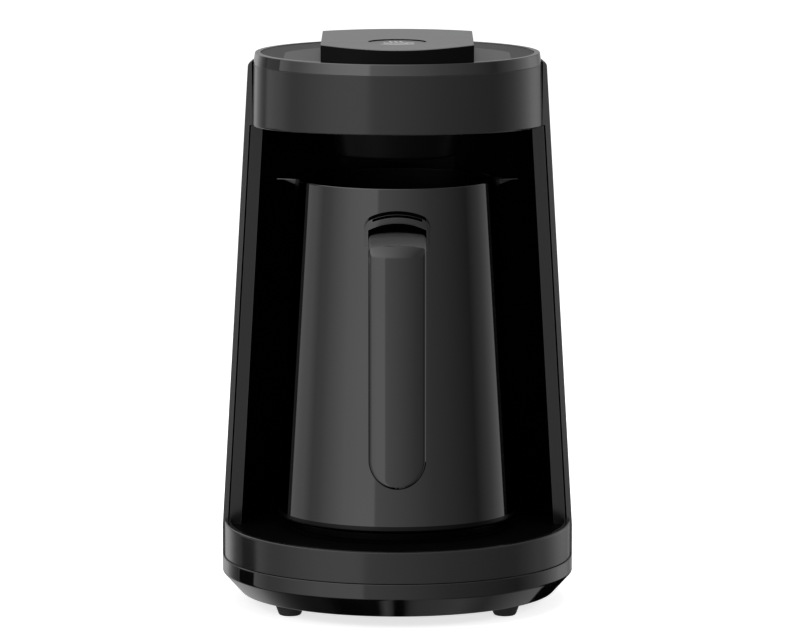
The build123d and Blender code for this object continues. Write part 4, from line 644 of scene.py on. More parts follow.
# ------------------------
# Rear shell. The outer skin of the column, black gloss like the base: an oval tube
# that tapers upwards and closes round the head, with seven vents low in its back.
SHELL_WALL, ABOVE_VENTS, GLAND_Z = 2.2, 80.0, 23.7
shell_outline = soften([
    (76.5, 12.4, 0.3, REAR), (SHELL_FOOT, 14.0, 0.6, REAR), (SHELL_FOOT, DECK_TOP, 0, REAR),
    (shell_reach(ABOVE_VENTS), ABOVE_VENTS, 0, REAR), (shell_reach(239.8), 239.8, 0.8, REAR),
    (64.8, SHELL_TOP, 0.3, REAR), (64.32, SHELL_TOP, 0.06), (64.32, 212.9, 0),
    (shell_reach(212.9) - SHELL_WALL, 212.9, 0, REAR),
    (shell_reach(ABOVE_VENTS) - SHELL_WALL, ABOVE_VENTS, 0, REAR),
    (SHELL_FOOT - SHELL_WALL, DECK_TOP, 0, REAR), (SHELL_FOOT - SHELL_WALL, 12.4, 0.1, REAR)])
edge_gloss = moulded("edge_gloss", (0.016, 0.016, 0.0165), (0.021, 0.021, 0.0215),
                     (0.08, 0.12), specular=1.0)
shell = faced(piece("rear_shell", skinned(turned(shell_outline, 0.0, 180.0, 160),
                                          closed=False), band_satin),
              edge_gloss, lambda face: face.normal.y < -0.9)
carve(shell, grown("shell_vents", SLOT_ROW, {
    "Count": 7, "Pitch": (0.0065, 0.0, 0.0), "Start": (-0.0195, 0.095, 0.059),
    "Length": 0.034, "Width": 0.003, "Depth": 0.03, "Turn": (math.pi / 2, 0.0, 0.0),
    "Material": band_satin}))
for name, radius, start in (("gland_hole", 5.45, 70.0), ("gland_seat", 7.25, 86.8)):
    drilled(shell, name, radius, [((0.0, start, GLAND_Z), (0.0, 96.0, GLAND_Z))])
seated(shell, "machine", "dark_gloss", "rear_housing")


# ------------------------
# Cord gland. A soft black bush pressed into the back of the shell, low down, where
# the mains lead goes in; its lip is rounded so that it doesn't cut the lead.
gland_outline = soften([(3.4, 88.8, 0.9), (7.2, 88.8, 0.5), (7.2, 86.8, 0), (5.4, 86.8, 0),
                        (5.4, 76.8, 0.3), (3.4, 76.8, 0)])
gland_rings = [[Vector((reach * math.cos(angle), depth, GLAND_Z + reach * math.sin(angle)))
                * MM for reach, depth, _ in gland_outline]
               for angle in (2.0 * math.pi * step / 64 for step in range(64))]
seated(piece("lead_gland", skinned(gland_rings), foot_rubber),
       "machine", "foot_rubber", "cord_gland")


# ------------------------
# Head drum. The wide round band of the head, black gloss, closed below by the
# underside plate; its lower edge rises towards the front.
DRUM_RISE = 0.031
FLOOR_FOOT, FLOOR_TOP = 216.5, 218.9
drum_outline = soften([
    (58.7, HEAD_FOOT, 0.3), (64.3, HEAD_FOOT, 0.8), (63.6, 240.4, 0.25), (61.2, 240.4, 0),
    (61.9, FLOOR_TOP, 0), (61.9, FLOOR_FOOT, 0), (58.7, FLOOR_FOOT, 0)])
seated(piece("head_band", leaned(skinned(turned(drum_outline, steps=192)),
                                 lambda height: height < 215.0, DRUM_RISE), band_satin),
       "machine", "dark_gloss", "head_drum")
seated(revolved("head_floor", [
    (6.0, FLOOR_FOOT, 0), (61.7, FLOOR_FOOT, 0.2), (61.7, FLOOR_TOP, 0),
    (6.0, FLOOR_TOP, 0)], 128, black_satin), "machine", "black_satin", "head_underside")


# ------------------------
# Foam sensor's hood. A shallow satin cup screwed under the head; a clear window in
# its floor lets the sensor watch the coffee rise.
seated(revolved("foam_hood", [
    (9.0, 200.0, 0.3), (27.2, 200.0, 1.3), (30.0, 216.45, 0), (27.8, 216.45, 0),
    (25.0, 202.2, 0.4), (9.0, 202.2, 0)], 128, black_satin),
    "machine", "black_satin", "sensor_hood")

clear_lens = moulded("clear_lens", (0.75, 0.78, 0.8), (0.7, 0.74, 0.78), (0.03, 0.08),
                     wear=0.0, grain_depth=0.0005, clear=0.9)
seated(revolved("foam_window", [
    (0.0, 200.9, 0), (8.9, 200.6, 0.2), (8.9, 202.2, 0), (10.9, 202.2, 0.1),
    (10.9, 203.0, 0.2), (0.0, 203.0, 0)], 96, clear_lens),
    "machine", "clear_lens", "sensor_lens")


# ------------------------
# Trim ring. A polished dark-chromed ring on top of the drum, with a step inside
# that seats the top plate.
dark_chrome = moulded("dark_chrome", (0.125, 0.125, 0.127), (0.14, 0.14, 0.142),
                      (0.03, 0.06), metallic=1.0, grain_depth=0.0006, wear=0.3,
                      wear_colour=(0.3, 0.3, 0.3))
STEP_Z = 243.2             # the step in the ring that the top plate lies on
seated(revolved("trim_ring", [
    (57.5, 240.42, 0), (63.6, 240.42, 0.15), (62.9, 245.5, 0.45), (60.4, 245.5, 0.2),
    (60.4, STEP_Z, 0), (57.5, STEP_Z, 0)], 192, dark_chrome),
    "machine", "dark_chrome", "head_trim_ring")


# ------------------------
# Top plate. A grey satin disc dropped into the trim ring. Its middle field stands
# slightly proud of the two darker crescents beside it; pillars carry the board.
WELL_Y = -41.0 + AXIS_Y    # middle of the start button
PLATE_REACH = 60.3
FIELD_HALF, FIELD_REACH, FIELD_Y = 49.6, 52.7, -20.5 + AXIS_Y
FIELD_TOP, CRESCENT_TOP = 245.45, 245.2

top_grey = moulded("top_grey", (0.075, 0.075, 0.076), (0.088, 0.088, 0.089), (0.3, 0.38),
                   grain_scale=1500.0, grain_depth=0.01, wear=0.15, specular=0.03)
crescent_grey = moulded("crescent_grey", (0.036, 0.036, 0.0365), (0.044, 0.044, 0.0445),
                        (0.26, 0.34), grain_scale=1500.0, grain_depth=0.01, wear=0.1,
                        specular=0.01)


def to_circle(angle, reach, middle_y):
    """How far a ray from the button's middle runs to a circle centred at a depth."""
    across, along = math.cos(angle), math.sin(angle)
    offset = WELL_Y - middle_y
    half = offset * along
    return -half + math.sqrt(half * half - offset * offset + reach * reach)


def to_side(angle, half_width):
    """How far the ray runs until it is half a width to the left or the right."""
    return half_width / max(1e-6, abs(math.cos(angle)))


def rays(corners, count=180):
    """Even angles round the button's middle, with extra ones at a plan's corners."""
    angles = {2.0 * math.pi * step / count for step in range(count)}
    for corner in corners:
        angles.update((corner + lean) % (2.0 * math.pi) for lean in (-0.012, 0.0, 0.012))
    return sorted(angles)


LEAST_CRESCENT = 0.35      # the field never runs quite to the plate's rim
plate_rays = rays([])
field = [min(to_side(angle, FIELD_HALF), to_circle(angle, FIELD_REACH, FIELD_Y),
             to_circle(angle, PLATE_REACH, AXIS_Y) - LEAST_CRESCENT) for angle in plate_rays]
smooth_field = [(field[spot - 1] + field[spot] + field[(spot + 1) % len(field)]) / 3.0
                for spot in range(len(field))]
plate_rings = []
for angle, edge in zip(plate_rays, smooth_field):
    rim = to_circle(angle, PLATE_REACH, AXIS_Y)
    edge = min(edge, rim - LEAST_CRESCENT)
    outline = soften([
        (9.35, STEP_Z, 0), (9.35, FIELD_TOP, 0.1), (edge - 0.3, FIELD_TOP, 0.08),
        (edge, CRESCENT_TOP, 0.08), (rim, CRESCENT_TOP, 0.06), (rim, STEP_Z, 0)], steps=3)
    plate_rings.append(carried(outline, angle, (0.0, WELL_Y)))
plate_shape = skinned(plate_rings)
for side in (-22.0, 22.0):
    for along in (-49.0, -17.0):
        rod(plate_shape, 2.5, (side, along + AXIS_Y, 235.6),
            (side, along + AXIS_Y, STEP_Z + 0.3), 24)
seated(faced(piece("top_disc", plate_shape, crescent_grey), top_grey,
             lambda face: face.center.z > (CRESCENT_TOP + 0.1) * MM),
       "machine", "top_grey", "head_top_plate")


# ------------------------
# Control block. A hollow raised block across the top plate, screwed down from
# inside the head: mid-grey satin above, its upright sides left black.
BLOCK_TOP, BLOCK_FOOT, CEILING = 253.6, 245.5, 250.6
BLOCK_HALF, BLOCK_WALL, WELL_REACH = 33.2, 2.4, 12.65
ROLL_START, ROLL_REACH = -44.0, 85.0    # where the top starts to roll down, and its radius
block_grey = moulded("block_grey", (0.112, 0.112, 0.114), (0.13, 0.13, 0.132), (0.34, 0.42),
                     grain_scale=1500.0, grain_depth=0.012, wear=0.25,
                     wear_colour=(0.2, 0.2, 0.2))


def roll_drop(along):
    """How far the block's top has rolled down at a distance behind the pot's axis."""
    ahead = max(0.0, ROLL_START - along)
    return ROLL_REACH - math.sqrt(ROLL_REACH ** 2 - ahead ** 2)


def rolled(build, above):
    """Drops the upper skin where the block's top rolls down towards the front."""
    for vertex in build.verts:
        if vertex.co.z > above * MM:
            vertex.co.z -= roll_drop(vertex.co.y / MM - AXIS_Y) * MM
    return build


front_corner = math.atan2(-52.95 - WELL_Y + AXIS_Y, BLOCK_HALF)
rear_corner = math.atan2(13.0 - WELL_Y + AXIS_Y, BLOCK_HALF)
block_rings = []
for angle in rays([front_corner, rear_corner, math.pi - front_corner, math.pi - rear_corner],
                  150):
    edge = min(to_side(angle, BLOCK_HALF), to_circle(angle, 62.5, AXIS_Y),
               to_circle(angle, 55.6, -31.6 + AXIS_Y))
    across_top = [(WELL_REACH + (edge - WELL_REACH) * share / 5.0, BLOCK_TOP, 0)
                  for share in (1.0, 2.0, 3.0, 4.0)]
    outline = soften([
        (WELL_REACH, CEILING, 0), (WELL_REACH, BLOCK_TOP, 0.35), *across_top,
        (edge, BLOCK_TOP, 0.6), (edge, BLOCK_FOOT + 0.02, 0.25),
        (edge - BLOCK_WALL, BLOCK_FOOT + 0.02, 0), (edge - BLOCK_WALL, CEILING, 0)], steps=3)
    block_rings.append(carried(outline, angle, (0.0, WELL_Y)))
seated(faced(piece("control_hood", rolled(skinned(block_rings), CEILING + 0.1), black_satin),
             block_grey,
             lambda face: face.normal.z > 0.45 and face.center.z > (CEILING + 0.2) * MM),
       "machine", "block_grey", "control_block")


# ------------------------
# Start button. A round grey key, slightly dished, that lies just below the block's
# top on its spring. A coffee cup is printed on it in pale lines.
KEY_REACH, KEY_MIDDLE, KEY_DISH = 12.3, 252.8, 0.2
button_outline = soften([
    (0.0, KEY_MIDDLE, 0), (4.0, 252.82, 0), (8.0, 252.88, 0),
    (KEY_REACH, KEY_MIDDLE + KEY_DISH, 0.3), (KEY_REACH, 250.55, 0), (13.7, 250.55, 0.1),
    (13.7, 248.65, 0.1), (3.2, 248.65, 0), (3.2, 240.85, 0.3), (0.0, 240.85, 0)])
button_rings = turned(button_outline, steps=96, centre=(0.0, WELL_Y))
seated(piece("start_key", rolled(skinned(button_rings), 252.0), block_grey),
       "button", "block_grey", "start_button")

print_pale = moulded("print_pale", (0.6, 0.6, 0.6), (0.7, 0.7, 0.7), (0.4, 0.5), wear=0.0)


def key_height(across, along):
    """Height of the dished key's face at a place measured from its middle."""
    dish = KEY_DISH * (math.hypot(across, along) / KEY_REACH) ** 2
    return KEY_MIDDLE + dish - roll_drop(along + WELL_Y - AXIS_Y)


def printed_line(build, places, width, thickness=0.05):
    """Adds a raised line of ink along places on the key's face."""
    rows = []
    for spot, here in enumerate(places):
        before, after = places[max(0, spot - 1)], places[min(len(places) - 1, spot + 1)]
        run = (Vector(after) - Vector(before)).normalized()
        side = Vector((-run.y, run.x)) * width / 2.0
        row = []
        for sign, rise in ((1.0, -thickness), (1.0, thickness), (-1.0, thickness),
                           (-1.0, -thickness)):
            across, along = here[0] + sign * side.x, here[1] + sign * side.y
            row.append(Vector(
                (across, along + WELL_Y, key_height(across, along) + rise)) * MM)
        rows.append(row)
    skinned(rows, closed=False, build=build)


def arc(middle, radii, first, last, count=20):
    """Places along an arc of an ellipse, angles in degrees."""
    angles = [math.radians(first + (last - first) * step / count) for step in range(count + 1)]
    return [(middle[0] + radii[0] * math.cos(angle), middle[1] + radii[1] * math.sin(angle))
            for angle in angles]


cup_print = bmesh.new()
bowl = arc((-0.6, 1.2), (5.2, 5.6), -180.0, 0.0, 28)
brim = [(-6.1, 1.2), (-0.6, 1.2), (4.9, 1.2)]
ear = arc((4.8, -0.8), (2.3, 2.0), 80.0, -100.0)
saucer = [(-7.4, -6.4), (0.0, -6.7), (7.4, -6.4)]
for line, width in ((bowl, 0.7), (brim, 0.6), (ear, 0.6), (saucer, 0.7)):
    printed_line(cup_print, line, width)
for middle in (-2.9, -0.6, 1.7):
    steam = [(middle + 0.6 * math.sin(step / 12.0 * 2.0 * math.pi), 3.0 + step * 0.42)
             for step in range(13)]
    printed_line(cup_print, steam, 0.5)
seated(piece("cup_sign", cup_print, print_pale), "button", "block_grey")


# ------------------------
# Pot. A drawn cone of dark-coated steel with a beak at each side for pouring, a
# rounded foot and an open rim; inside, the steel keeps its fine turned rings.
POT_FOOT, POT_RIM, FOOT_Z, RIM_Z = 52.9, 43.8, 38.9, 189.4
BEAK_ROOT, BEAK_TIP = 39.8, 53.4
POT_WALL, POT_FLOOR, CONE_START = 1.2, 41.1, 150.0

pot_steel = moulded("pot_steel", (0.083, 0.083, 0.084), (0.093, 0.093, 0.094), (0.03, 0.06),
                    metallic=1.0, cloud_scale=9.0, grain_depth=0.0008, wear=0.3,
                    wear_colour=(0.25, 0.25, 0.25))
pot_lining = turned_steel("pot_lining", (0.02, 0.02, 0.0205), (0.3, 0.42), 500.0)


def cone_reach(height):
    """Radius of the pot's outside at a height."""
    return POT_FOOT + (height - FOOT_Z) / (RIM_Z - FOOT_Z) * (POT_RIM - POT_FOOT)


def beak_fullness(reach, angle, below, wall):
    """Below one inside the beak, above one outside it."""
    across = reach * math.cos(angle)
    share = min(1.0, max(0.0, (across - BEAK_ROOT) / (BEAK_TIP - BEAK_ROOT)))
    fade = (1.0 - share) ** 2
    half_width = 1.9 + fade * 10.1 - wall
    depth = 1.1 + fade * 10.9 - wall
    return (reach * math.sin(angle) / half_width) ** 2 + (below / depth) ** 2


def pot_reach(angle, height, wall):
    """Radius of the pot's skin at an angle from its nearest beak, less a wall."""
    low = cone_reach(height) - wall
    below = RIM_Z - height
    tip = (BEAK_TIP - min(wall, 0.5)) / math.cos(angle)
    thin = min(wall, 0.7)
    if abs(angle) > 0.4 or tip <= low or beak_fullness(low, angle, below, thin) >= 1.0:
        return low
    high = tip
    if beak_fullness(high, angle, below, thin) < 1.0:
        return high
    for _ in range(24):
        middle = (low + high) / 2.0
        if beak_fullness(middle, angle, below, thin) < 1.0:
            low = middle
        else:
            high = middle
    return low


beak_angles = [step * 0.9 for step in range(-26, 27)]
plain_angles = [23.4 + (156.6 - 23.4) * step / 50.0 for step in range(1, 50)]
pot_angles = [(lean, lean) for lean in beak_angles]
pot_angles += [(angle, 90.0) for angle in plain_angles]
pot_angles += [(180.0 + lean, lean) for lean in beak_angles]
pot_angles += [(180.0 + angle, 90.0) for angle in plain_angles]
upper_rows = [CONE_START, 165.0] + [175.4 + step * 0.7 for step in range(20)]
pot_foot = soften([(0.0, 39.4, 0), (46.6, 39.4, 0.4), (47.4, FOOT_Z, 0.4),
                   (POT_FOOT, FOOT_Z, 1.2), (cone_reach(41.7), 41.7, 0),
                   (cone_reach(CONE_START), CONE_START, 0)], steps=8)[:-1]
pot_floor = soften([(cone_reach(CONE_START) - POT_WALL, CONE_START, 0),
                    (cone_reach(POT_FLOOR) - POT_WALL, POT_FLOOR, 2.4),
                    (0.0, POT_FLOOR, 0)], steps=6)[1:]
pot_rings = []
for angle, lean in pot_angles:
    turn = math.radians(lean)
    outline = list(pot_foot)
    outline += [Vector((pot_reach(turn, height, 0.0), height, 0.0)) for height in upper_rows]
    outer = pot_reach(turn, RIM_Z - 0.01, 0.0)
    inner = min(pot_reach(turn, RIM_Z - 0.01, POT_WALL), outer - 0.5)
    wall = outer - inner
    for share, drop in ((0.0, 0.35), (0.12, 0.1), (0.35, 0.0), (0.65, 0.0), (0.88, 0.1),
                        (1.0, 0.35)):
        outline.append(Vector((outer - share * wall, RIM_Z - drop, 0.0)))
    outline += [Vector((min(pot_reach(turn, height, POT_WALL),
                            pot_reach(turn, height, 0.0) - 0.5), height, 0.0))
                for height in reversed(upper_rows)]
    outline += pot_floor
    pot_rings.append(carried(outline, math.radians(angle)))
pot = piece("pot_shell", skinned(pot_rings), pot_steel, 40.0)
# A darker, rougher finish for the band at the foot, and the same finish at the root of each
# beak next to the pot, where it is painted shade.
foot_coat = moulded("foot_coat", (0.02, 0.02, 0.0205), (0.026, 0.026, 0.0265),
                    (0.26, 0.36), metallic=1.0, wear=0.2)
FOOT_BAND_TOP, BEAK_SHADE_FOOT, BEAK_SHADE_HALF = 41.6, 170.0, 45.2


def in_lining(face):
    """Whether a face is on the pot's inner wall or its floor."""
    middle, out = face.center / MM, face.normal
    inward = out.x * middle.x + out.y * (middle.y - AXIS_Y) < 0.0
    wall = inward and POT_FLOOR - 0.2 < middle.z < RIM_Z - 0.5
    return wall or (middle.z < POT_FLOOR + 0.9 and out.z > 0.5)


def in_foot_band_or_beak_shade(face):
    """Whether a face is on the pot's darker foot band, or at the root of a beak where shade is
    painted.
    """
    middle = face.center / MM
    beyond = math.hypot(middle.x, middle.y - AXIS_Y) - cone_reach(middle.z)
    beak_root = beyond > 0.15 and abs(middle.x) < BEAK_SHADE_HALF and middle.z > BEAK_SHADE_FOOT
    return (middle.z < FOOT_BAND_TOP or beak_root) and not in_lining(face)


faced(pot, pot_lining, in_lining)
faced(pot, foot_coat, in_foot_band_or_beak_shade)
seated(pot, "pot", "pot_steel", "pot_body")


# ------------------------
# Handle bracket. An arched hood of the same dark steel, welded to the pot's front.
# Its mouth takes the root of the handle, which is screwed to a tongue inside.
HOOD_HALF, HOOD_FOOT, HOOD_CROWN, HOOD_RISE = 14.5, 164.5, 179.8, 4.0
HOOD_FRONT, BOW = -54.0, 80.0
bracket_steel = moulded("bracket_steel", (0.075, 0.075, 0.076), (0.09, 0.09, 0.091),
                        (0.12, 0.2), metallic=1.0, wear=0.4, wear_colour=(0.35, 0.35, 0.35))


def arch_outline(half_width, foot, crown, rise, shoulder=0.0):
    """Places (x, z) up one side, over a flat arch with round shoulders, down the other."""
    reach = (half_width ** 2 + rise ** 2) / (2.0 * rise)

    def arch_height(across):
        return crown - reach + math.sqrt(reach ** 2 - across ** 2)

    side = arch_height(half_width)
    turn_in = half_width - shoulder
    places = [(half_width, foot), (half_width, side - max(shoulder, 1.0) * 1.1)]
    for step in range(1, 9 if shoulder else 1):
        share = step / 8.0
        places.append((
            half_width * (1.0 - share ** 2) + turn_in * share ** 2,
            (side - shoulder * 1.1) * (1.0 - share) ** 2 + side * 2.0 * share * (1.0 - share)
            + arch_height(turn_in) * share ** 2))
    for step in range(1 if shoulder else 0, 13):
        across = turn_in * (1.0 - step / 12.0)
        places.append((across, arch_height(across)))
    return places + [(-across, height) for across, height in reversed(places[:-1])]


def prism(places, front, back, dip=0.0):
    """A solid over a flat foot between two walls y(across, height); its top dips in front."""
    foot = places[0][1]
    return skinned([[at(across, wall(across, height), height) for wall, height in (
        (front, top - dip), (front, foot), (back, foot), (back, top))]
        for across, top in places], closed=False)


def bowed(across, _height=0.0):
    """The hood's front, bowed like the handle's."""
    return HOOD_FRONT + across ** 2 / BOW


def bevelled(made):
    """Rounds the sharp edges of a piece."""
    soft = made.modifiers.new("soft", "BEVEL")
    soft.width = 0.3 * MM
    soft.segments = 3
    soft.limit_method = "ANGLE"
    soft.angle_limit = math.radians(40.0)
    return baked(made)


bracket = piece("handle_hood", prism(
    arch_outline(HOOD_HALF, HOOD_FOOT, HOOD_CROWN, HOOD_RISE, 3.4), bowed,
    lambda across, height: -math.sqrt(cone_reach(height) ** 2 - across ** 2) + 0.5, dip=0.5),
    bracket_steel)
MOUTH_HALF, MOUTH_CROWN = 12.7, 175.4
carve(bracket, piece("mouth", prism(arch_outline(MOUTH_HALF, 160.0, MOUTH_CROWN, 3.2),
                                    lambda across, height: -60.0,
                                    lambda across, height: -46.74), bracket_steel))
bevelled(bracket)
# Painted shade: the roof, the inside of the mouth and the groove get a near-black, matt finish
# for the shade that falls there.
soot_black = moulded("soot_black", (0.0012, 0.0012, 0.0012), (0.002, 0.002, 0.002),
                     (0.6, 0.75), wear=0.0, specular=0.0)
GROOVE_HALF, GROOVE_TOP, GROOVE_FOOT, GROOVE_DEEP = 11.8, 0.6, 1.8, 1.3
groove_rows = []
for across, height in arch_outline(HOOD_HALF, HOOD_FOOT, HOOD_CROWN, HOOD_RISE):
    if abs(across) < GROOVE_HALF and height > 170.0:
        ahead, inside = HOOD_FRONT - 2.0, bowed(across) + GROOVE_DEEP
        groove_rows.append([at(across, deep, height - under) for deep, under in (
            (ahead, GROOVE_TOP), (ahead, GROOVE_FOOT), (inside, GROOVE_FOOT),
            (inside, GROOVE_TOP))])
carve(bracket, piece("lip_groove", skinned(groove_rows, closed=False), bracket_steel))


def in_shade(face):
    """Whether a face is on the hood's roof or inside its mouth or its groove, where shade is
    painted.
    """
    here = face.center / MM
    inward = here.y - AXIS_Y > bowed(here.x) + 0.1
    half_width = MOUTH_HALF + 0.1 if here.z < MOUTH_CROWN - 0.2 else GROOVE_HALF + 0.05
    return face.normal.z > 0.75 or (inward and abs(here.x) < half_width)


faced(bracket, soot_black, in_shade)
tongue = bevelled(box("handle_tongue", (0.0, -53.6 + AXIS_Y, 169.0), (12.0, 13.8, 2.0),
                      bracket_steel))
seated(tongue, "pot", "bracket_steel", "handle_bracket")
seated(bracket, "pot", "bracket_steel", "handle_bracket")


# ------------------------
# Pot handle. One long moulding of black gloss plastic with a crowned front: out of
# the bracket, round a bend and down to a rounded end that hangs free.
HANDLE_HALF, HANDLE_DEEP, HANDLE_FRONT, HANDLE_TOP = 12.55, 7.5, -76.0, 171.0
HANDLE_CROWN, EDGE_ROUND, BACK_ROUND = 3.0, 1.7, 0.9
TOP_SHARE = 0.42           # the crown's share on the level root
BEND_DEEP, BEND_TALL = 13.0, 10.0
END_HEIGHT = 61.8 + HANDLE_HALF
handle_black = moulded("handle_black", (0.083, 0.083, 0.084), (0.093, 0.093, 0.094),
                       (0.03, 0.06), metallic=1.0, grain_depth=0.0008, wear=0.3,
                       wear_colour=(0.25, 0.25, 0.25))
crown_reach = (HANDLE_HALF ** 2 + HANDLE_CROWN ** 2) / (2.0 * HANDLE_CROWN)


def rounding(inside, radius):
    """How far a quarter-round edge drops at a distance inside the outline."""
    short = radius - min(max(inside, 0.0), radius)
    return radius - math.sqrt(radius ** 2 - short ** 2)


flat_half = HANDLE_HALF - EDGE_ROUND
edge_places = [flat_half + EDGE_ROUND * math.cos(math.radians(angle))
               for angle in (0.0, 14.0, 27.0, 40.0, 52.0, 64.0, 77.0)]
front_places = ([-across for across in edge_places]
                + [flat_half * (step / 8.0 - 1.0) for step in range(17)]
                + list(reversed(edge_places)))
back_places = [across * HANDLE_HALF for across in (0.999, 0.985, 0.95, 0.9, 0.0, -0.9, -0.95,
                                                   -0.985, -0.999)]
stations = [((along, HANDLE_TOP), (0.0, 1.0), HANDLE_HALF, TOP_SHARE)
            for along in (-46.94, -50.0, -54.0, -58.0, -61.0, -62.6)]
for step in range(21):
    angle = math.pi / 2.0 * (1.0 + step / 20.0)
    side, rise = math.cos(angle), math.sin(angle)
    away = Vector((side / BEND_DEEP, rise / BEND_TALL)).normalized()
    share = (step / 20.0) ** 2 * (3.0 - step / 10.0)
    stations.append(((HANDLE_FRONT + BEND_DEEP * (1.0 + side),
                      HANDLE_TOP + BEND_TALL * (rise - 1.0)), tuple(away), HANDLE_HALF,
                     TOP_SHARE + (1.0 - TOP_SHARE) * share))
stations += [((HANDLE_FRONT, height), (-1.0, 0.0), HANDLE_HALF, 1.0)
             for height in (160.0, 157.0, 150.0, 130.0, 110.0, 90.0, 78.0)]
for step in range(23):
    angle = math.pi / 2.0 * step / 22.0
    stations.append(((HANDLE_FRONT, END_HEIGHT - HANDLE_HALF * math.sin(angle)), (-1.0, 0.0),
                     max(0.02, HANDLE_HALF * math.cos(angle)), 1.0))
handle_rings = []
for (along, height), (away_y, away_z), half, crowned in stations:
    ring = []
    for places, from_front, radius in ((front_places, 1.0, EDGE_ROUND),
                                       (back_places, -1.0, BACK_ROUND)):
        for place in places:
            across = place * half / HANDLE_HALF
            inside = HANDLE_HALF - math.hypot(across, min(0.0, height - END_HEIGHT))
            drop = rounding(inside, radius)
            if from_front > 0.0:
                crown = crown_reach - math.sqrt(crown_reach ** 2 - across ** 2)
                deep = drop + crowned * crown
            else:
                deep = HANDLE_DEEP - drop
            ring.append(at(across, along - away_y * deep, height - away_z * deep))
    handle_rings.append(ring)
handle = piece("pot_grip", skinned(handle_rings, closed=False), handle_black, 50.0)
# Painted highlight: the rows from the bracket to the middle of the bend get a paler, rough,
# non-metal copy of the finish, which stands in for the light band mirrored there.
PAINTED_SHEEN_ROWS = 16
handle_shoulder = moulded("handle_shoulder", (0.05, 0.05, 0.0505), (0.06, 0.06, 0.0605),
                          (0.3, 0.4), wear=0.1, specular=0.3)
faced(handle, handle_shoulder,
      lambda face: face.index < PAINTED_SHEEN_ROWS * len(handle_rings[0]))
seated(handle, "pot", "handle_black", "pot_handle")


# ------------------------
# Springs. Two coils of steel wire, one under the start key and one under the pot
# sensor. Each stands on a fixed seat and is drawn at its full length, though the real one gets
# shorter as its part is pressed.
COIL_WIRE = 0.4


def coiled(name, node, turns, steps=40, sides=10):
    """A coil of even pitch that fills a node's box."""
    low, high = (Vector(corner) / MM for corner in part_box(node))
    reach = (high.x - low.x) / 2.0 - COIL_WIRE
    middle = (low + high) / 2.0
    rise = high.z - low.z - 2.0 * COIL_WIRE
    rings = []
    for step in range(turns * steps + 1):
        angle = 2.0 * math.pi * step / steps
        outward = Vector((math.cos(angle), math.sin(angle), 0.0))
        along = Vector((-math.sin(angle) * reach, math.cos(angle) * reach,
                        rise / turns / (2.0 * math.pi))).normalized()
        spot = Vector((middle.x, middle.y, low.z + COIL_WIRE + rise * step / turns / steps))
        spot += outward * reach
        across = along.cross(outward)
        turns_round = (2.0 * math.pi * side / sides for side in range(sides))
        rings.append([(spot + (outward * math.cos(turn) + across * math.sin(turn)) * COIL_WIRE)
                      * MM for turn in turns_round])
    coil = piece(name, skinned(rings, closed=False), spring_steel)
    seated(coil, "machine", "spring_steel", node)
    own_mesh(coil)


coiled("button_coil", "button_spring", 5)
coiled("sensor_coil", "pot_sensor_spring", 4)


# ------------------------
# Inner pieces. Boards, relay, transformer, heater, wires and the screws
# that stay inside keep their modelled shapes and get the finish of their kind.
board_green = moulded("board_green", (0.012, 0.09, 0.03), (0.02, 0.12, 0.045), (0.3, 0.4),
                      cloud_scale=120.0, wear=0.0)
component_black = moulded("component_black", (0.014, 0.014, 0.015), (0.022, 0.022, 0.022),
                          (0.35, 0.5), cloud_scale=90.0, wear=0.2)
connector_white = moulded("connector_white", (0.62, 0.61, 0.57), (0.68, 0.67, 0.63),
                          (0.4, 0.5), cloud_scale=90.0, wear=0.0)
wire_sleeve = moulded("wire_sleeve", (0.5, 0.48, 0.43), (0.58, 0.56, 0.5), (0.55, 0.7),
                      cloud_scale=260.0, grain_depth=0.03, wear=0.0)
shield_aluminium = turned_steel("shield_aluminium", (0.6, 0.6, 0.61), (0.22, 0.35), 300.0)
kept_nodes = [
    (board_green, "board_green", ("control_board", "sensor_board", "power_board")),
    (component_black, "component_black", ("key_switch", "buzzer", "foam_sensor", "relay",
                                          "transformer", "capacitor", "terminal_block")),
    (connector_white, "connector_white", ("loom_plug", "loom_connector", "terminal_beads",
                                          "thermal_fuse")),
    (clear_lens, "clear_lens", ("button_lamp",)),
    (wire_sleeve, "wire_sleeve", ("heater_wires", "wiring_loom")),
    (plate_steel, "plate_steel", ("heating_element",)),
    (seal_rubber, "seal_rubber", ("plate_gasket",)),
    (shield_aluminium, "shield_aluminium", ("heat_shield",)),
    (screw_steel, "screw_steel", ("handle_screw", "plate_nuts", "liner_screws", "head_screws",
                                  "hood_screws", "block_screws", "control_board_screws",
                                  "power_board_screws"))]
for finish, slot, names in kept_nodes:
    for name in names:
        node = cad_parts[name]
        node.data.materials.clear()
        node.data.materials.append(finish)


# ------------------------
# Studio. A pale floor that runs out of sight and is white to the camera; gloss
# mirrors a ring of lit screens and dark flags that stands all round the table.
floor_mesh = bpy.data.meshes.new("floor")
floor_mesh.from_pydata([(-6.0, -6.0, 0.0), (6.0, -6.0, 0.0), (6.0, 6.0, 0.0), (-6.0, 6.0, 0.0)],
                       [], [(0, 1, 2, 3)])
floor = placed("floor", floor_mesh)
floor.visible_glossy = False
floor_paint, paint_tree, floor_shader = painted("floor_paint", {
    "Base Color": (0.82, 0.82, 0.82, 1.0), "Roughness": 0.8, "Specular IOR Level": 0.1,
    "Emission Color": (1.0, 1.0, 1.0, 1.0)})
seen = wired(paint_tree, "ShaderNodeLightPath")["Is Camera Ray"]
joined(paint_tree, floor_shader, {
    "Emission Strength": reckoned(paint_tree, "MULTIPLY", seen, 0.72)})
floor_mesh.materials.append(floor_paint)

world = bpy.data.worlds.new("studio")
bpy.context.scene.world = world
world.use_nodes = True
sky = world.node_tree


def product(*factors):
    """The product of outputs or numbers."""
    whole = factors[0]
    for factor in factors[1:]:
        whole = reckoned(sky, "MULTIPLY", whole, factor)
    return whole


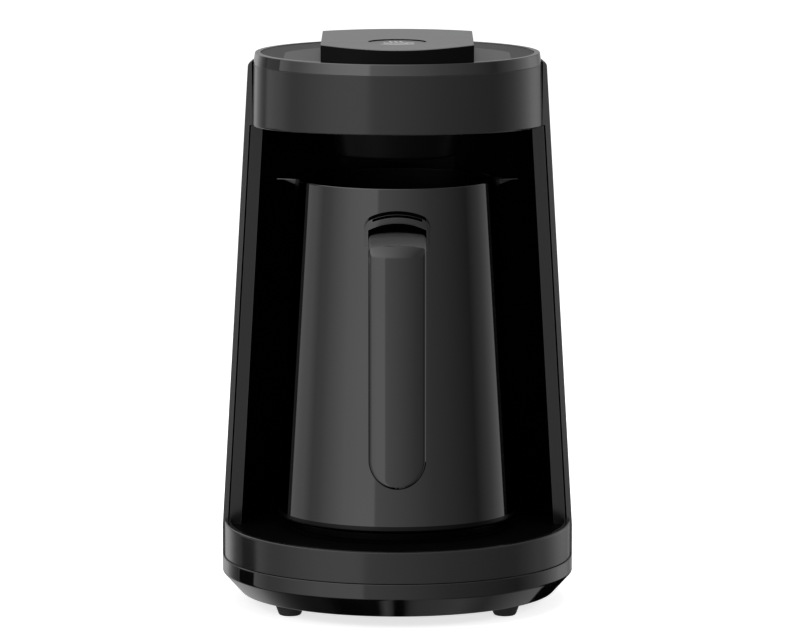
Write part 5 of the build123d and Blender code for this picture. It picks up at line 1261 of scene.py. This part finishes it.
def screens(value, panels):
    """Brightness along a row of panels, given as (share, level) in rising order."""
    row = sky.nodes.new("ShaderNodeValToRGB")
    sky.links.new(value, row.inputs["Fac"])
    stops = row.color_ramp.elements
    while len(stops) < len(panels):
        stops.new(0.5)
    for stop, (share, level) in zip(stops, panels):
        stop.position = share
        stop.color = (level, level, level, 1.0)
    return row.outputs["Color"]


def flag(middle, half_width, shade_of):
    """A dark flag that hangs over a span of bearings, in degrees."""
    span = reckoned(sky, "COMPARE", bearing, math.radians(middle), math.radians(half_width))
    return product(span, shade_of)


aim = wired(sky, "ShaderNodeSeparateXYZ", {
    0: wired(sky, "ShaderNodeTexCoord")["Generated"]})
# The bearing is nought in front of the object and grows to the right.
bearing = reckoned(sky, "ARCTAN2", aim["X"], product(aim["Y"], -1.0))
ring = screens(eased(sky, bearing, -math.pi, math.pi), [
    ((degrees + 180.0) / 360.0, level) for degrees, level in (
        (-180, 0.35), (-152, 0.75), (-138, 0.25), (-129, 0.12), (-127, 0.62), (-106, 0.62),
        (-94, 0.42), (-84, 0.48), (-73, 0.65), (-54, 0.92), (-38, 1.0), (-23, 1.0),
        (-21, 0.64), (0, 0.52), (35, 0.3), (85, 0.12), (105, 0.33), (122, 0.62), (134, 0.75),
        (146, 0.55), (156, 0.3), (180, 0.35))])
height = aim["Z"]
near_flag = flag(-118.5, 9.5, reckoned(sky, "MAXIMUM", eased(sky, height, -0.118, -0.135),
                                       eased(sky, height, 0.0, 0.03, 0.0, 0.63)))
far_flag = flag(145.5, 34.5, product(eased(sky, height, -0.18, -0.2),
                                     eased(sky, height, -0.56, -0.55)))
lit = reckoned(sky, "SUBTRACT", 1.0,
               product(reckoned(sky, "MAXIMUM", near_flag, far_flag), 0.995))
below = screens(eased(sky, aim["X"], -0.5, 0.5), [
    (0.0, 0.05), (0.15, 0.04), (0.25, 0.0), (0.4, 0.01), (0.44, 0.38), (0.47, 0.22),
    (0.485, 0.0), (0.53, 0.0), (0.57, 0.2), (0.6, 0.26), (0.8, 0.32), (0.88, 0.15),
    (1.0, 0.1)])
above = eased(sky, aim["X"], -0.7, 0.5, 1.5, 0.3)
low_share, high_share = eased(sky, height, -0.5, -0.85), eased(sky, height, 0.3, 0.5)
ring_share = reckoned(sky, "SUBTRACT", reckoned(sky, "SUBTRACT", 1.0, low_share), high_share)
mirrored = reckoned(sky, "ADD", product(ring, ring_share), reckoned(
    sky, "ADD", product(below, low_share), product(above, high_share)))
ray = wired(sky, "ShaderNodeLightPath")
white = reckoned(sky, "MAXIMUM", ray["Is Camera Ray"], ray["Is Transmission Ray"])
soft = product(ray["Is Diffuse Ray"], 0.45)
gloss = product(ray["Is Glossy Ray"], product(mirrored, lit))
background = sky.nodes["Background"].inputs
background["Color"].default_value = (1.0, 1.0, 1.0, 1.0)
joined(sky, background, {
    "Strength": reckoned(sky, "ADD", white, reckoned(sky, "ADD", soft, gloss))})


def soft_box(name, place, size, power):
    """A rectangular studio lamp that points at the middle of the object."""
    lamp = bpy.data.lights.new(name, "AREA")
    lamp.shape = "RECTANGLE"
    lamp.size, lamp.size_y = size
    lamp.energy = power
    made = placed(name, lamp)
    made.location = place
    run = Vector((0.0, AXIS_Y * MM, 0.13)) - Vector(place)
    made.rotation_euler = run.to_track_quat("-Z", "Y").to_euler()
    made.visible_camera = False
    made.visible_glossy = False


soft_box("soft_box_left", (-1.5, -1.1, 1.1), (0.5, 1.6), 14.0)
soft_box("soft_box_right", (1.6, -0.7, 0.9), (0.4, 1.4), 9.0)
soft_box("soft_box_top", (0.0, -0.3, 1.9), (1.2, 1.2), 16.0)

LOOK_DOWN = 7.77           # degrees
camera = bpy.data.cameras.new("camera")
camera.sensor_width = 36.0
camera.sensor_fit = "HORIZONTAL"
camera.lens = 255.55
camera.clip_end = 20.0
viewer = placed("camera", camera)
viewer.location = (0.001155, -2.512, 0.467)
viewer.rotation_euler = (math.radians(90.0 - LOOK_DOWN), 0.0, 0.0)
bpy.context.scene.camera = viewer
